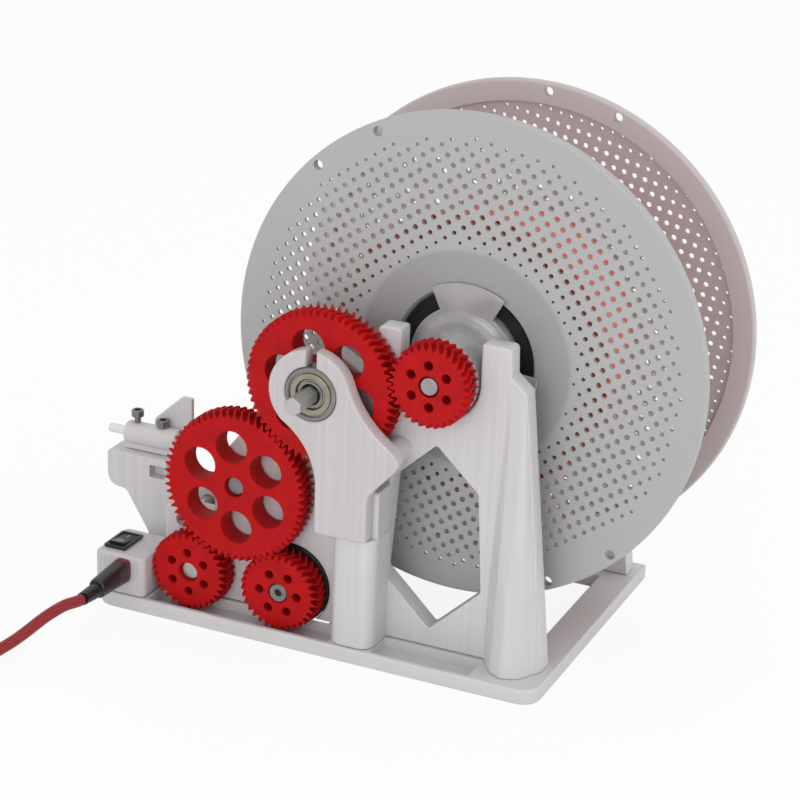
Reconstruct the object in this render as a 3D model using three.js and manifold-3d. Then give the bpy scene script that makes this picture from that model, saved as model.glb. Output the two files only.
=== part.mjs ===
// Motor-driven filament winder with a hexagonal drive end for a crank.
// Millimetres, +Z up, +Y along the spool axis away from the gears, +X to the right seen from the
// gears. The origin is on the ground, straight below the spool axis, in the middle of the front wall.
import * as THREE from "three";
import { mergeVertices } from "three/addons/utils/BufferGeometryUtils.js";
import Module from "manifold-3d";

const wasm = await Module();
wasm.setup();

// Running clearance between pieces that touch or turn in each other, and the overrun of every cut.
const gap = 0.3;
const overrun = 1;
const weld = 1e-3;
const degrees = THREE.MathUtils.degToRad;
const onAxis = { x: 0, z: 0 };

// Spool: a full-size filament spool, partly wound. A flange is a thin web between a rim and a hub zone.
const spoolRadius = 100;
const spoolWidth = 67;
const flangeThickness = 4;
const flangeWebThickness = 1.6;
const flangeRimWidth = 9;
const flangeHubWidth = 3;
const spoolBoreRadius = 27.5;
const spoolBoreFlare = 2.5;
const spoolCoreRadius = 42;
const rimHoleRadius = 2;
const rimHoleInset = 3.8;
const rimHoleSpread = 30.9;
const frontRimDirection = 124.2;
const rearRimDirection = 77.5;
const perforationRadius = 1.7;
const perforationStart = 8;
const perforationRingPitch = 11.5;
const perforationPitch = 26;
const perforationRings = 4;

// Filament on the spool: the outer layer winds over a plain core, and lies lower at the rear.
const filamentDiameter = 1.75;
const woundDepth = 17;
const rearWoundDepth = 7;
const windingLoops = 21;
const windingSteps = 16;
const windingSides = 4;

// Herringbone gears of one module: small and large.
const gearModule = 1;
const smallTeeth = 32;
const largeTeeth = 62;
const addendum = 1;
const dedendum = 1.25;
const gearWidth = 10;
const gearStandoff = 1;
const meshPlay = 0.3;
const helixShift = 2.3;
const smallHoleRadius = 1.9;
const smallHoleInset = 7.5;
const largeHoleRadius = 7;
const largeHoleInset = 13.7;
const lighteningHoles = 6;
const smallPitchRadius = (gearModule * smallTeeth) / 2;
const largePitchRadius = (gearModule * largeTeeth) / 2;

// Directions, in degrees, from each gear centre to the next, and the turn of each gear's holes.
const upperIdlerDirection = 191.3;
const lowerIdlerDirection = 233.4;
const traverseDirection = 243.8;
const motorDirection = 296.2;
const spoolHoleTurn = 32.7;
const upperHoleTurn = 47;
const lowerHoleTurn = 34.2;
const traverseHoleTurn = 32.8;
const motorHoleTurn = 58.9;

// Gear centres: the two lower shafts stand at one height, and the train climbs from them to the
// spool axis, which is straight above the origin.
const traverseHeight = 20.276;
const smallToLarge = smallPitchRadius + largePitchRadius + meshPlay;
const largeToLarge = largePitchRadius + largePitchRadius + meshPlay;
const trainDrop = smallToLarge * Math.sin(degrees(upperIdlerDirection))
  + largeToLarge * Math.sin(degrees(lowerIdlerDirection))
  + smallToLarge * Math.sin(degrees(traverseDirection));
const spoolAxisHeight = traverseHeight - trainDrop;
const spoolCentre = { x: 0, z: spoolAxisHeight };

function away(from, direction, distance) {
  const angle = degrees(direction);
  return { x: from.x + distance * Math.cos(angle), z: from.z + distance * Math.sin(angle) };
}

const upperIdler = away(spoolCentre, upperIdlerDirection, smallToLarge);
const lowerIdler = away(upperIdler, lowerIdlerDirection, largeToLarge);
const traverseAxis = away(lowerIdler, traverseDirection, smallToLarge);
const motorAxis = away(lowerIdler, motorDirection, smallToLarge);

// Walls that carry the spool, measured along the spool axis from the middle of the front wall.
const wallThickness = 9;
const frontWallFace = -wallThickness / 2;
const frontWallBack = wallThickness / 2;
const spoolStandoff = 15;
const spoolFront = frontWallBack + spoolStandoff;
const spoolBack = spoolFront + spoolWidth;
const rearStandoff = 12;
const rearWallFace = spoolBack + rearStandoff;
const rearWallBack = rearWallFace + wallThickness;
const gearBack = frontWallFace - gearStandoff;
const gearFront = gearBack - gearWidth;

// Fork at the top of each wall, and the drum of the hub that turns in it.
const hubDrumRadius = 16.3;
const hubDrumPlay = 0.6;
const forkSlotRadius = hubDrumRadius + hubDrumPlay;
const forkProngWidth = 8.6;
const forkRise = 0.9;
const forkTop = spoolAxisHeight + hubDrumRadius + forkRise;
const forkShoulder = spoolAxisHeight + hubDrumPlay;
const shoulderDrop = 3.6;
const shoulderWidth = 8;
const shoulderHalf = forkSlotRadius + forkProngWidth + shoulderWidth;

// A-shaped lower wall with its six-sided window.
const wallFootHalf = 49;
const windowSill = 35;
const windowSillHalf = 21.5;
const windowBottom = 14.5;
const windowShoulderHalf = 18.5;
const windowTopDrop = 28;
const windowShoulderDrop = 45;
const windowTop = spoolAxisHeight - windowTopDrop;
const windowShoulder = spoolAxisHeight - windowShoulderDrop;

// Left part of the walls, round the lower gears and the traverse.
const wallEndReach = 16.6;
const lowWallReach = 6.4;
const lowWallRise = 23.7;
const wallLeft = traverseAxis.x - wallEndReach;
const lowWallShoulder = traverseAxis.x + lowWallReach;
const lowWallTop = traverseAxis.z + lowWallRise;
const idlerBossRadius = 14.2;
const upperBossRadius = 12.5;

// Control box at the left end, with its rocker switch and power socket.
const boxWidth = 23.5;
const boxStandoff = 0.5;
const boxRight = wallLeft - boxStandoff;
const boxLeft = boxRight - boxWidth;
const boxBack = 4;
const boxRise = 17.6;
const boxWall = 1.8;
const rockerWidth = 10.2;
const rockerLength = 15.5;
const rockerBezel = 0.7;
const rockerBezelHeight = 1.2;
const rockerBodyDepth = 9;
const rockerCrown = 2.4;
const rockerTilt = 7;
const rockerInset = 7;
const rockerBackset = 12;
const socketBackset = 14;
const socketDrop = 7.3;
const socketRadius = 3.2;
const socketFlange = 4.4;
const socketDepth = 4;

// Base: a flat ring with a narrow front lip, and trays behind it under the gears and the window.
const baseLeft = boxLeft;
const baseEnd = 4;
const baseRight = wallFootHalf + baseEnd;
const baseFront = -22;
const baseTail = 6;
const baseBack = rearWallBack + baseTail;
const baseHeight = 6.5;
const baseCorner = 9;
const railWidth = 14.5;
const frontFootDepth = 30;
const rearFootDepth = 20;
const trayLip = 2;
const trayFloor = 2;
const wallBottom = baseHeight + gap;
const boxTop = wallBottom + boxRise;
const rockerX = boxLeft + rockerInset;
const rockerY = baseFront + rockerBackset;
const socketX = boxLeft + socketBackset;
const socketZ = boxTop - socketDrop;

// Shafts and ball bearings.
const shaftRadius = 4;
const axleRecess = 2.5;
const shaftPassagePlay = 1.3;
const bearingRadius = 11;
const bearingWidth = 7;
const bearingInnerRadius = 6;
const bearingSeatPlay = 0.15;
const bearingSides = 16;
const hexShaftProud = 15;
const shaftSides = 16;

// Bracket that carries the front bearing of the upper idler, and the post under it.
const bracketThickness = 7;
const bracketStandoff = 1;
const bracketBack = gearFront - bracketStandoff;
const bracketFront = bracketBack - bracketThickness;
const bracketWall = 7.15;
const bracketRingRadius = bearingRadius + bearingSeatPlay + bracketWall;
const bracketSlitWidth = 4.6;
const bracketFootStart = 3;
const bracketFootWidth = 22.5;
const bracketDrop = 58.2;
const bracketElbowDrop = 36.7;
const bracketTipReach = 34.4;
const bracketTipDrop = 20.2;
const bracketTipRadius = 4.3;
const bracketLeft = upperIdler.x + bracketFootStart;
const bracketRight = bracketLeft + bracketFootWidth;
const bracketBottom = upperIdler.z - bracketDrop;
const bracketElbow = upperIdler.z - bracketElbowDrop;
const bracketTip = { x: upperIdler.x + bracketTipReach, z: upperIdler.z - bracketTipDrop };
const postInset = 5.9;
const postWidth = 19;
const postRoundness = 6;
const postProud = 16.5;
const postTopDrop = 2;
const columnLeft = bracketLeft + postInset;
const columnRight = columnLeft + postWidth;
const columnTop = bracketElbow - postTopDrop;
const standoffRadius = 5.2;
const standoffInset = 3.5;
const standoffDrop = 2.5;
const standoff = { x: bracketTip.x - standoffInset, z: bracketTip.z - standoffDrop };

// Buttress on the front face of the right leg: full up to its knee, then narrowing to the shoulder.
const buttressWidth = 24.5;
const buttressDepth = 12.4;
const buttressKneeRise = 27;
const buttressTopDrop = 5;
const buttressTopWidth = 4.2;
const buttressTopDepth = 0.4;
const buttressInset = 0.4;

// Motor and its gearbox, gripped in the front wall.
const gearboxRadius = 17.7;
const gearboxLength = 26;
const motorInset = 1.3;
const motorRadius = gearboxRadius - motorInset;
const motorLength = 42;
const motorCapInset = 1;
const motorCapLength = 4;
const motorBossRadius = 6;
const terminalHeight = 6;

// Traverse: reversing screw, guide rod and carriage.
const screwRadius = 8;
const rodRadius = 3;
const pawlRadius = 3;
const rodReach = 8.6;
const rodRise = 17.7;
const guideRod = { x: traverseAxis.x - rodReach, z: traverseAxis.z + rodRise };
const carriageStandoff = 13;
const carriageDepth = 15;
const carriageReach = 37.6;
const carriageWall = 3.1;
const carriageDrop = 11.7;
const carriageRise = 24.7;
const columnWidth = 9;
const headReach = 20.4;
const headRise = 7;
const headDrop = 9.5;
const headCorner = 9;
const headPocketWidth = 8;
const headPocketHeight = 5.6;
const neckHeight = 3;
const carriageFront = frontWallBack + carriageStandoff;
const carriageBack = carriageFront + carriageDepth;
const tubeY = carriageFront + carriageDepth / 2;
const carriageLeft = traverseAxis.x - carriageReach;
const carriageRight = traverseAxis.x + screwRadius + gap + carriageWall;
const carriageBottom = traverseAxis.z - carriageDrop;
const carriageTop = traverseAxis.z + carriageRise;
const headLeft = carriageLeft - headReach;
const headBottom = carriageTop - headDrop;
const headTop = carriageTop + headRise;

// Guide tube in its clamp on the head, with a fin behind it.
const clampRadius = 5;
const clampRise = 7.2;
const clampInset = 11;
const clampLength = 25.3;
const clampHeight = headTop + clampRise;
const clampRight = carriageLeft + clampInset;
const clampLeft = clampRight - clampLength;
const tubeRadius = 2;
const tubeBore = 1.2;
const tubeFrontReach = 8.7;
const tubeBackReach = 4;
const tubeLeft = clampLeft - tubeFrontReach;
const tubeRight = clampRight + tubeBackReach;
const finRise = 18.8;
const finFootInset = 11.3;
const finSlopeHeight = 12;
const finThickness = 2.4;
const finTipWidth = 5;
const tubeScrewHead = 2.7;
const tubeScrewShank = 1.4;
const tubeScrewHeadHeight = 3;
const tubeScrewInset = 4.8;
const tubeScrewPitch = 12.3;
const proudScrewX = clampLeft + tubeScrewInset;
const seatedScrewX = proudScrewX + tubeScrewPitch;
const proudScrewLift = 2.4;

// Hubs: a drum in the fork, three lugs on the flange and a plug with a rubber ring in the bore.
const hubLugRadius = 32.5;
const hubLugThickness = 1.5;
const hubPlugLength = 16;
const hubLugs = 3;
const hubLugHalfAngle = 30;
const hubRingInset = 4;
const hubRingWidth = 8;
const hubRingThickness = 4.5;
const hubPlugRadius = spoolBoreRadius - gap - hubRingThickness - gap;
const hubSides = 20;
const hubProud = 2.5;
const rearDrumEnd = rearWallBack + hubProud;

// Plug and its cord.
const plugRadius = 5.2;
const plugTaper = 0.6;
const plugCollarLength = 2.2;
const plugLength = 18.8;
const plugTilt = 2.8;
const reliefLength = 10;
const cordDiameter = 4.8;
const cordSides = 8;
const coilRadius = 26.5;
const coilLoops = 5;
const coilSteps = 24;
const coilSides = 6;
const coilPlay = 0.6;
const coilPitch = cordDiameter + coilPlay;
const cordFloorPlay = 0.1;
const cordRest = cordDiameter / 2 + cordFloorPlay;
const farPlug = { length: 21, width: 13, height: 7.6, start: -244.3, y: -152, z: 4 };
const farShell = { length: 12, width: 12, height: 4.5 };

// Fasteners.
const screwHeadRadius = 3;
const screwHeadHeight = 3;
const screwShankRadius = 1.5;
const screwSides = 10;
const wallScrewInset = 9;
const leftScrewInset = 5;
const wallScrewReach = 6;
const nutRadius = 8;
const nutLength = 7;

// Finishes, in the colours of the object.
const finish = (color, roughness, metalness) =>
  new THREE.MeshStandardMaterial({ color, roughness, metalness });
const whitePrint = finish(0xd8d6d8, 0.45, 0);
const redPrint = finish(0xbe1c1e, 0.4, 0);
const greyMould = finish(0xb2b1b3, 0.55, 0);
const clearPrint = finish(0xa9a6a8, 0.3, 0);
const orangeFilament = finish(0xc4432e, 0.4, 0);
const steel = finish(0xb9b9b5, 0.3, 1);
const darkSteel = finish(0x2f2e30, 0.4, 1);
const blackPlastic = finish(0x1b1b1c, 0.45, 0);
const blackRubber = finish(0x151515, 0.8, 0);
const redBraid = finish(0x8c1a22, 0.75, 0);
const brass = finish(0xb08d4c, 0.35, 1);

const model = new THREE.Group();

function addPiece(name, geometry, material) {
  const mesh = new THREE.Mesh(geometry, material);
  mesh.name = name;
  model.add(mesh);
  return mesh;
}

// Booleans.
function bare(geometry) {
  const copy = geometry.clone();
  for (const name of Object.keys(copy.attributes)) {
    if (name !== "position") copy.deleteAttribute(name);
  }
  return mergeVertices(copy, weld);
}

function toSolid(geometry) {
  const merged = bare(geometry);
  return new wasm.Manifold(new wasm.Mesh({
    numProp: 3,
    vertProperties: merged.attributes.position.array,
    triVerts: new Uint32Array(merged.index.array),
  }));
}

function fromSolid(solid) {
  const mesh = solid.getMesh();
  const geometry = new THREE.BufferGeometry();
  geometry.setAttribute("position", new THREE.BufferAttribute(mesh.vertProperties, mesh.numProp));
  geometry.setIndex(new THREE.BufferAttribute(mesh.triVerts, 1));
  return geometry;
}

function joined(first, ...others) {
  return fromSolid(others.reduce((whole, other) => whole.add(toSolid(other)), toSolid(first)));
}

function cut(first, ...tools) {
  return fromSolid(tools.reduce((whole, tool) => whole.subtract(toSolid(tool)), toSolid(first)));
}

// Shapes that face the gear side are drawn in X and Z and carried along Y.
function plate(shape, front, back, curveSegments = shaftSides / 2) {
  const geometry = new THREE.ExtrudeGeometry(shape, {
    depth: back - front, bevelEnabled: false, curveSegments,
  });
  return geometry.rotateX(Math.PI / 2).translate(0, back, 0);
}

function outline(points) {
  return new THREE.Shape(points.map(([x, z]) => new THREE.Vector2(x, z)));
}

function roundHole(x, z, radius) {
  return new THREE.Path().absarc(x, z, radius, 0, 2 * Math.PI, true);
}

// A turned piece: profile points are [radius, y], the axis lies along Y through centre.
function turned(profile, centre, sides = shaftSides) {
  const points = profile.map(([radius, y]) => new THREE.Vector2(radius, y));
  return new THREE.LatheGeometry(points, sides).translate(centre.x, 0, centre.z);
}

function rod(radius, front, back, centre, sides = shaftSides) {
  return turned([[0, front], [radius, front], [radius, back], [0, back]], centre, sides);
}

function tube(inner, outer, front, back, centre, sides = shaftSides) {
  const profile = [[inner, front], [outer, front], [outer, back], [inner, back], [inner, front]];
  return turned(profile, centre, sides);
}

// The same as rod and tube, standing upright or lying along X.
function upright(geometry, x, y, z) {
  return geometry.rotateX(Math.PI / 2).translate(x, y, z);
}

function lengthwise(geometry, x, y, z) {
  return geometry.rotateZ(-Math.PI / 2).translate(x, y, z);
}

function block(left, right, front, back, bottom, top) {
  const geometry = new THREE.BoxGeometry(right - left, back - front, top - bottom);
  return geometry.translate((left + right) / 2, (front + back) / 2, (bottom + top) / 2);
}

// Herringbone gears. A tooth is a point at the tip and a point at the root, and the middle ring of
// the face is turned by the helix, so both halves lean to the same side.
function toothRing(teeth, turn) {
  const pitchRadius = (gearModule * teeth) / 2;
  const ring = [];
  for (let tooth = 0; tooth < teeth; tooth += 1) {
    for (const [step, radius] of [[0, pitchRadius + addendum], [0.5, pitchRadius - dedendum]]) {
      const angle = turn + (2 * Math.PI * (tooth + step)) / teeth;
      ring.push(new THREE.Vector2(radius * Math.cos(angle), radius * Math.sin(angle)));
    }
  }
  return ring;
}

function circlePoints(radius, count, centre = onAxis) {
  const points = [];
  for (let i = 0; i < count; i += 1) {
    const angle = Math.PI / 2 + (2 * Math.PI * i) / count;
    points.push(new THREE.Vector2(
      centre.x + radius * Math.cos(angle), centre.z + radius * Math.sin(angle)));
  }
  return points;
}

// Two caps and the walls between them, from rings of points at the levels along Y.
function stackedGeometry(levels, outerRings, holes) {
  const positions = [];
  const index = [];
  const push = (ring, y) => {
    const start = positions.length / 3;
    for (const point of ring) positions.push(point.x, y, point.y);
    return start;
  };
  const outerStarts = outerRings.map((ring, i) => push(ring, levels[i]));
  const front = levels[0];
  const back = levels[levels.length - 1];
  const holeStarts = holes.map((ring) => [push(ring, front), push(ring, back)]);
  const wall = (from, to, count, outward) => {
    for (let i = 0; i < count; i += 1) {
      const next = (i + 1) % count;
      const corners = [from + i, to + i, to + next, from + next];
      if (!outward) corners.reverse();
      index.push(corners[0], corners[1], corners[2], corners[0], corners[2], corners[3]);
    }
  };
  for (let i = 1; i < levels.length; i += 1) {
    wall(outerStarts[i - 1], outerStarts[i], outerRings[0].length, true);
  }
  holeStarts.forEach(([from, to], i) => wall(from, to, holes[i].length, false));
  const cap = (outerStart, ring, side, reverse) => {
    const clockwiseHoles = holes.map((hole) => [...hole].reverse());
    const faces = THREE.ShapeUtils.triangulateShape(ring, clockwiseHoles);
    const starts = holes.map((hole, i) => holeStarts[i][side]);
    const place = (vertex) => {
      if (vertex < ring.length) return outerStart + vertex;
      let rest = vertex - ring.length;
      let hole = 0;
      while (rest >= holes[hole].length) {
        rest -= holes[hole].length;
        hole += 1;
      }
      return starts[hole] + holes[hole].length - 1 - rest;
    };
    for (const [a, b, c] of faces) {
      const corners = [place(a), place(b), place(c)];
      if (reverse) corners.reverse();
      index.push(...corners);
    }
  };
  const last = levels.length - 1;
  cap(outerStarts[0], outerRings[0], 0, false);
  cap(outerStarts[last], outerRings[last], 1, true);
  const geometry = new THREE.BufferGeometry();
  geometry.setAttribute("position", new THREE.Float32BufferAttribute(positions, 3));
  geometry.setIndex(index);
  return geometry;
}

function herringboneGear({ teeth, turn, holeTurn }, hand, bore, boreSides, holeRadius, holeInset, holeSides) {
  const pitchRadius = (gearModule * teeth) / 2;
  const holeCircle = pitchRadius - holeInset;
  const lean = (hand * helixShift) / pitchRadius;
  const rings = [toothRing(teeth, turn), toothRing(teeth, turn + lean), toothRing(teeth, turn)];
  const holes = [circlePoints(bore, boreSides)];
  for (let i = 0; i < lighteningHoles; i += 1) {
    const angle = degrees(holeTurn) + (2 * Math.PI * i) / lighteningHoles;
    const centre = { x: holeCircle * Math.cos(angle), z: holeCircle * Math.sin(angle) };
    holes.push(circlePoints(holeRadius, holeSides, centre));
  }
  return stackedGeometry([gearFront, (gearFront + gearBack) / 2, gearBack], rings, holes);
}

// The turn that puts a driven gear in mesh: where one gear has a tooth, the other has a space.
function meshTurn(driver, direction, drivenTeeth) {
  const angle = degrees(direction);
  const share = ((angle - driver.turn) * driver.teeth) / (2 * Math.PI);
  return angle + Math.PI - ((0.5 - share) * 2 * Math.PI) / drivenTeeth;
}

const spoolGear = { teeth: smallTeeth, turn: Math.PI / 2, holeTurn: spoolHoleTurn };
const upperGear = {
  teeth: largeTeeth, turn: meshTurn(spoolGear, upperIdlerDirection, largeTeeth),
  holeTurn: upperHoleTurn,
};
const lowerGear = {
  teeth: largeTeeth, turn: meshTurn(upperGear, lowerIdlerDirection, largeTeeth),
  holeTurn: lowerHoleTurn,
};
const traverseGear = {
  teeth: smallTeeth, turn: meshTurn(lowerGear, traverseDirection, smallTeeth),
  holeTurn: traverseHoleTurn,
};
const motorGear = {
  teeth: smallTeeth, turn: meshTurn(lowerGear, motorDirection, smallTeeth),
  holeTurn: motorHoleTurn,
};

function addGear(name, gear, centre, hand, bore, boreSides) {
  const small = gear.teeth === smallTeeth;
  const geometry = herringboneGear(
    gear, hand, bore, boreSides,
    small ? smallHoleRadius : largeHoleRadius,
    small ? smallHoleInset : largeHoleInset,
    small ? 6 : 10);
  addPiece(name, geometry, redPrint).position.set(centre.x, 0, centre.z);
}

function addGears() {
  addGear("spool_gear", spoolGear, spoolCentre, 1, shaftRadius + gap, shaftSides);
  addGear("upper_idler_gear", upperGear, upperIdler, -1, shaftRadius + gap, 6);
  addGear("lower_idler_gear", lowerGear, lowerIdler, 1, shaftRadius + gap, shaftSides);
  addGear("traverse_gear", traverseGear, traverseAxis, -1, shaftRadius + gap, shaftSides);
  addGear("motor_gear", motorGear, motorAxis, -1, shaftRadius + gap, shaftSides);
}

// Base frame: one flat ring with a bay for the motor and two trays behind its front lip.
function baseOutline() {
  const shape = new THREE.Shape();
  const quarter = Math.PI / 2;
  const round = baseCorner;
  shape.moveTo(baseLeft + round, baseFront);
  shape.lineTo(baseRight - round, baseFront);
  shape.absarc(baseRight - round, baseFront + round, round, -quarter, 0, false);
  shape.lineTo(baseRight, baseBack);
  shape.lineTo(baseLeft, baseBack);
  shape.lineTo(baseLeft, baseFront + round);
  shape.absarc(baseLeft + round, baseFront + round, round, 2 * quarter, 3 * quarter, false);
  const [left, right] = [baseLeft + railWidth, baseRight - railWidth];
  const [front, back] = [baseFront + frontFootDepth, baseBack - rearFootDepth];
  shape.holes.push(new THREE.Path([
    new THREE.Vector2(left, front), new THREE.Vector2(left, back),
    new THREE.Vector2(right, back), new THREE.Vector2(right, front),
  ]));
  return shape;
}

function tray(left, right) {
  return block(
    left, right, baseFront + trayLip, frontWallFace - gap, trayFloor, baseHeight + overrun);
}

function motorBay() {
  const half = gearboxRadius + gap + gap;
  return block(
    motorAxis.x - half, motorAxis.x + half, frontWallFace - gap, baseFront + frontFootDepth + overrun,
    -overrun, baseHeight + overrun);
}

const leftScrewX = wallLeft + leftScrewInset;
const rightScrewX = wallFootHalf - wallScrewInset;
const wallScrewPlaces = [
  { x: rightScrewX, y: 0 }, { x: leftScrewX, y: 0 },
  { x: rightScrewX, y: rearWallFace + wallThickness / 2 },
  { x: leftScrewX, y: rearWallFace + wallThickness / 2 },
];

function screwWell(place) {
  const head = rod(screwHeadRadius + gap, -overrun, screwHeadHeight + gap, onAxis, screwSides);
  const shank = rod(screwShankRadius + gap, 0, baseHeight + overrun, onAxis, screwSides);
  return joined(upright(head, place.x, place.y, 0), upright(shank, place.x, place.y, 0));
}

function addBaseFrame() {
  const ring = new THREE.ExtrudeGeometry(baseOutline(), {
    depth: baseHeight, bevelEnabled: false, curveSegments: 5,
  });
  const geometry = cut(
    ring, tray(boxRight + boxStandoff + boxStandoff, columnLeft),
    tray(columnRight, wallFootHalf - buttressWidth), motorBay(), ...wallScrewPlaces.map(screwWell));
  addPiece("base_frame", geometry, whitePrint);
}

// Walls.
function windowPath() {
  const points = [
    [0, windowBottom], [-windowSillHalf, windowSill], [-windowShoulderHalf, windowShoulder],
    [0, windowTop], [windowShoulderHalf, windowShoulder], [windowSillHalf, windowSill],
  ];
  return new THREE.Path(points.map(([x, z]) => new THREE.Vector2(x, z)));
}

function forkPoints(shape, side) {
  const inner = forkSlotRadius;
  const outer = forkSlotRadius + forkProngWidth;
  const points = [
    [shoulderHalf, forkShoulder - shoulderDrop], [outer, forkShoulder], [outer, forkTop],
    [inner, forkTop], [inner, spoolAxisHeight],
  ];
  if (side < 0) points.reverse();
  for (const [x, z] of points) shape.lineTo(side * x, z);
}

function frontWallShape() {
  const shape = new THREE.Shape();
  shape.moveTo(wallFootHalf, wallBottom);
  forkPoints(shape, 1);
  shape.absarc(0, spoolAxisHeight, forkSlotRadius, 0, Math.PI, true);
  forkPoints(shape, -1);
  const leftSide = degrees(lowerIdlerDirection - 90);
  shape.absarc(upperIdler.x, upperIdler.z, upperBossRadius, Math.PI / 2, leftSide, false);
  shape.absarc(lowerIdler.x, lowerIdler.z, idlerBossRadius, leftSide, Math.PI, false);
  shape.lineTo(lowWallShoulder, lowWallTop);
  shape.lineTo(wallLeft, lowWallTop);
  shape.lineTo(wallLeft, wallBottom);
  shape.holes.push(windowPath());
  return shape;
}

// Column under the bracket: a round-nosed post in front of the wall, lower behind the bracket.
function columnShape(front) {
  const shape = new THREE.Shape();
  const quarter = Math.PI / 2;
  const round = postRoundness;
  shape.moveTo(columnRight, 0);
  shape.lineTo(columnLeft, 0);
  shape.lineTo(columnLeft, front + round);
  shape.absarc(columnLeft + round, front + round, round, 2 * quarter, 3 * quarter, false);
  shape.absarc(columnRight - round, front + round, round, 3 * quarter, 4 * quarter, false);
  return shape;
}

function bracketColumn() {
  const lower = new THREE.ExtrudeGeometry(columnShape(frontWallFace - postProud), {
    depth: bracketBottom - gap - wallBottom, bevelEnabled: false, curveSegments: 4,
  }).translate(0, 0, wallBottom);
  const upper = block(
    columnLeft, columnRight, bracketBack + gap, 0, bracketBottom - gap - overrun, columnTop);
  return [lower, upper, rod(standoffRadius, bracketBack + gap, 0, standoff, 12)];
}

// The outer edge of a wall's right leg, which slants from the shoulder to the foot.
function legEdge(z) {
  const share = (z - wallBottom) / (forkShoulder - shoulderDrop - wallBottom);
  return wallFootHalf + (shoulderHalf - wallFootHalf) * share;
}

// Buttress: blunt sections, given as shares of their width and depth, that shrink to the shoulder.
function buttress() {
  const top = forkShoulder - buttressTopDrop;
  const knee = wallBottom + buttressKneeRise;
  const noseShares = [
    [0, 0], [0.04, 0.45], [0.13, 0.8], [0.27, 0.96], [0.5, 1], [0.77, 0.88], [0.93, 0.6], [1, 0.3], [1, 0],
  ];
  const left = wallFootHalf - buttressWidth;
  const kneeDepth = buttressDepth * (1 - buttressKneeRise / (top - wallBottom));
  const topLeft = legEdge(top) - buttressInset - buttressTopWidth;
  const levels = [
    [wallBottom, left, buttressDepth], [knee, left, kneeDepth], [top, topLeft, buttressTopDepth],
  ];
  return loft(levels.map(([z, start, depth]) => {
    const width = legEdge(z) - buttressInset - start;
    const ring = noseShares.map(([across, out]) => [start + width * across, frontWallFace - depth * out, z]);
    ring.push([start + width, 0, z], [start, 0, z]);
    return ring;
  }));
}

// Skin through rings of equal count, closed by a fan at each end.
function loft(rings) {
  const count = rings[0].length;
  const positions = rings.flat(2);
  const index = [];
  for (let ring = 1; ring < rings.length; ring += 1) {
    for (let i = 0; i < count; i += 1) {
      const next = (i + 1) % count;
      const low = (ring - 1) * count;
      const high = ring * count;
      index.push(low + i, low + next, high + next, low + i, high + next, high + i);
    }
  }
  const top = (rings.length - 1) * count;
  for (let i = 1; i < count - 1; i += 1) {
    index.push(0, i + 1, i, top, top + i, top + i + 1);
  }
  const geometry = new THREE.BufferGeometry();
  geometry.setAttribute("position", new THREE.Float32BufferAttribute(positions, 3));
  geometry.setIndex(index);
  return geometry;
}

function screwHole(place) {
  const depth = wallBottom + wallScrewReach + gap;
  return upright(
    rod(screwShankRadius + gap, 0, depth, onAxis, screwSides), place.x, place.y, 0);
}

const bracketScrewPlaces = [
  { x: (columnLeft + columnRight) / 2, z: (bracketBottom + columnTop) / 2 },
  standoff,
];
const bracketScrewFront = bracketBack - bracketThickness / 2;

function bracketScrewHole(place) {
  return rod(screwShankRadius + gap, bracketScrewFront - gap, frontWallBack + overrun, place, screwSides);
}

function bearingSeat(axis, front) {
  const play = bearingRadius + bearingSeatPlay;
  return rod(play, front, front + bearingWidth + overrun, axis, bearingSides);
}

const wallBearingFront = frontWallBack - bearingWidth;

function addFrontWall() {
  const solid = joined(
    plate(frontWallShape(), frontWallFace, frontWallBack, 12), ...bracketColumn(), buttress());
  const shaftPassage = shaftRadius + shaftPassagePlay;
  const geometry = cut(
    solid,
    bearingSeat(upperIdler, wallBearingFront), bearingSeat(traverseAxis, wallBearingFront),
    rod(shaftPassage, frontWallFace - overrun, 0, upperIdler, shaftSides),
    rod(shaftPassage, frontWallFace - overrun, 0, traverseAxis, shaftSides),
    rod(shaftRadius + gap, frontWallFace - overrun, frontWallBack + overrun, lowerIdler, shaftSides),
    rod(gearboxRadius + gap, frontWallFace - overrun, frontWallBack + overrun, motorAxis, 28),
    rod(rodRadius + gap, 0, frontWallBack + overrun, guideRod, shaftSides),
    ...bracketScrewPlaces.map(bracketScrewHole), ...wallScrewPlaces.slice(0, 2).map(screwHole));
  addPiece("front_wall", geometry, whitePrint);
}

function rearWallShape() {
  const shape = new THREE.Shape();
  shape.moveTo(wallFootHalf, wallBottom);
  forkPoints(shape, 1);
  shape.absarc(0, spoolAxisHeight, forkSlotRadius, 0, Math.PI, true);
  forkPoints(shape, -1);
  shape.lineTo(-wallFootHalf + windowSillHalf / 3, lowWallTop);
  shape.lineTo(wallLeft, lowWallTop);
  shape.lineTo(wallLeft, wallBottom);
  shape.holes.push(windowPath());
  return shape;
}

function addRearWall() {
  const seat = rod(
    bearingRadius + bearingSeatPlay, rearWallFace - overrun, rearWallFace + bearingWidth,
    traverseAxis, bearingSides);
  const geometry = cut(
    plate(rearWallShape(), rearWallFace, rearWallBack, 12), seat,
    rod(shaftRadius + shaftPassagePlay, rearWallFace, rearWallBack + overrun, traverseAxis, shaftSides),
    rod(rodRadius + gap, rearWallFace - overrun, rearWallBack - overrun, guideRod, shaftSides),
    ...wallScrewPlaces.slice(2).map(screwHole));
  addPiece("rear_wall", geometry, whitePrint);
}

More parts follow.
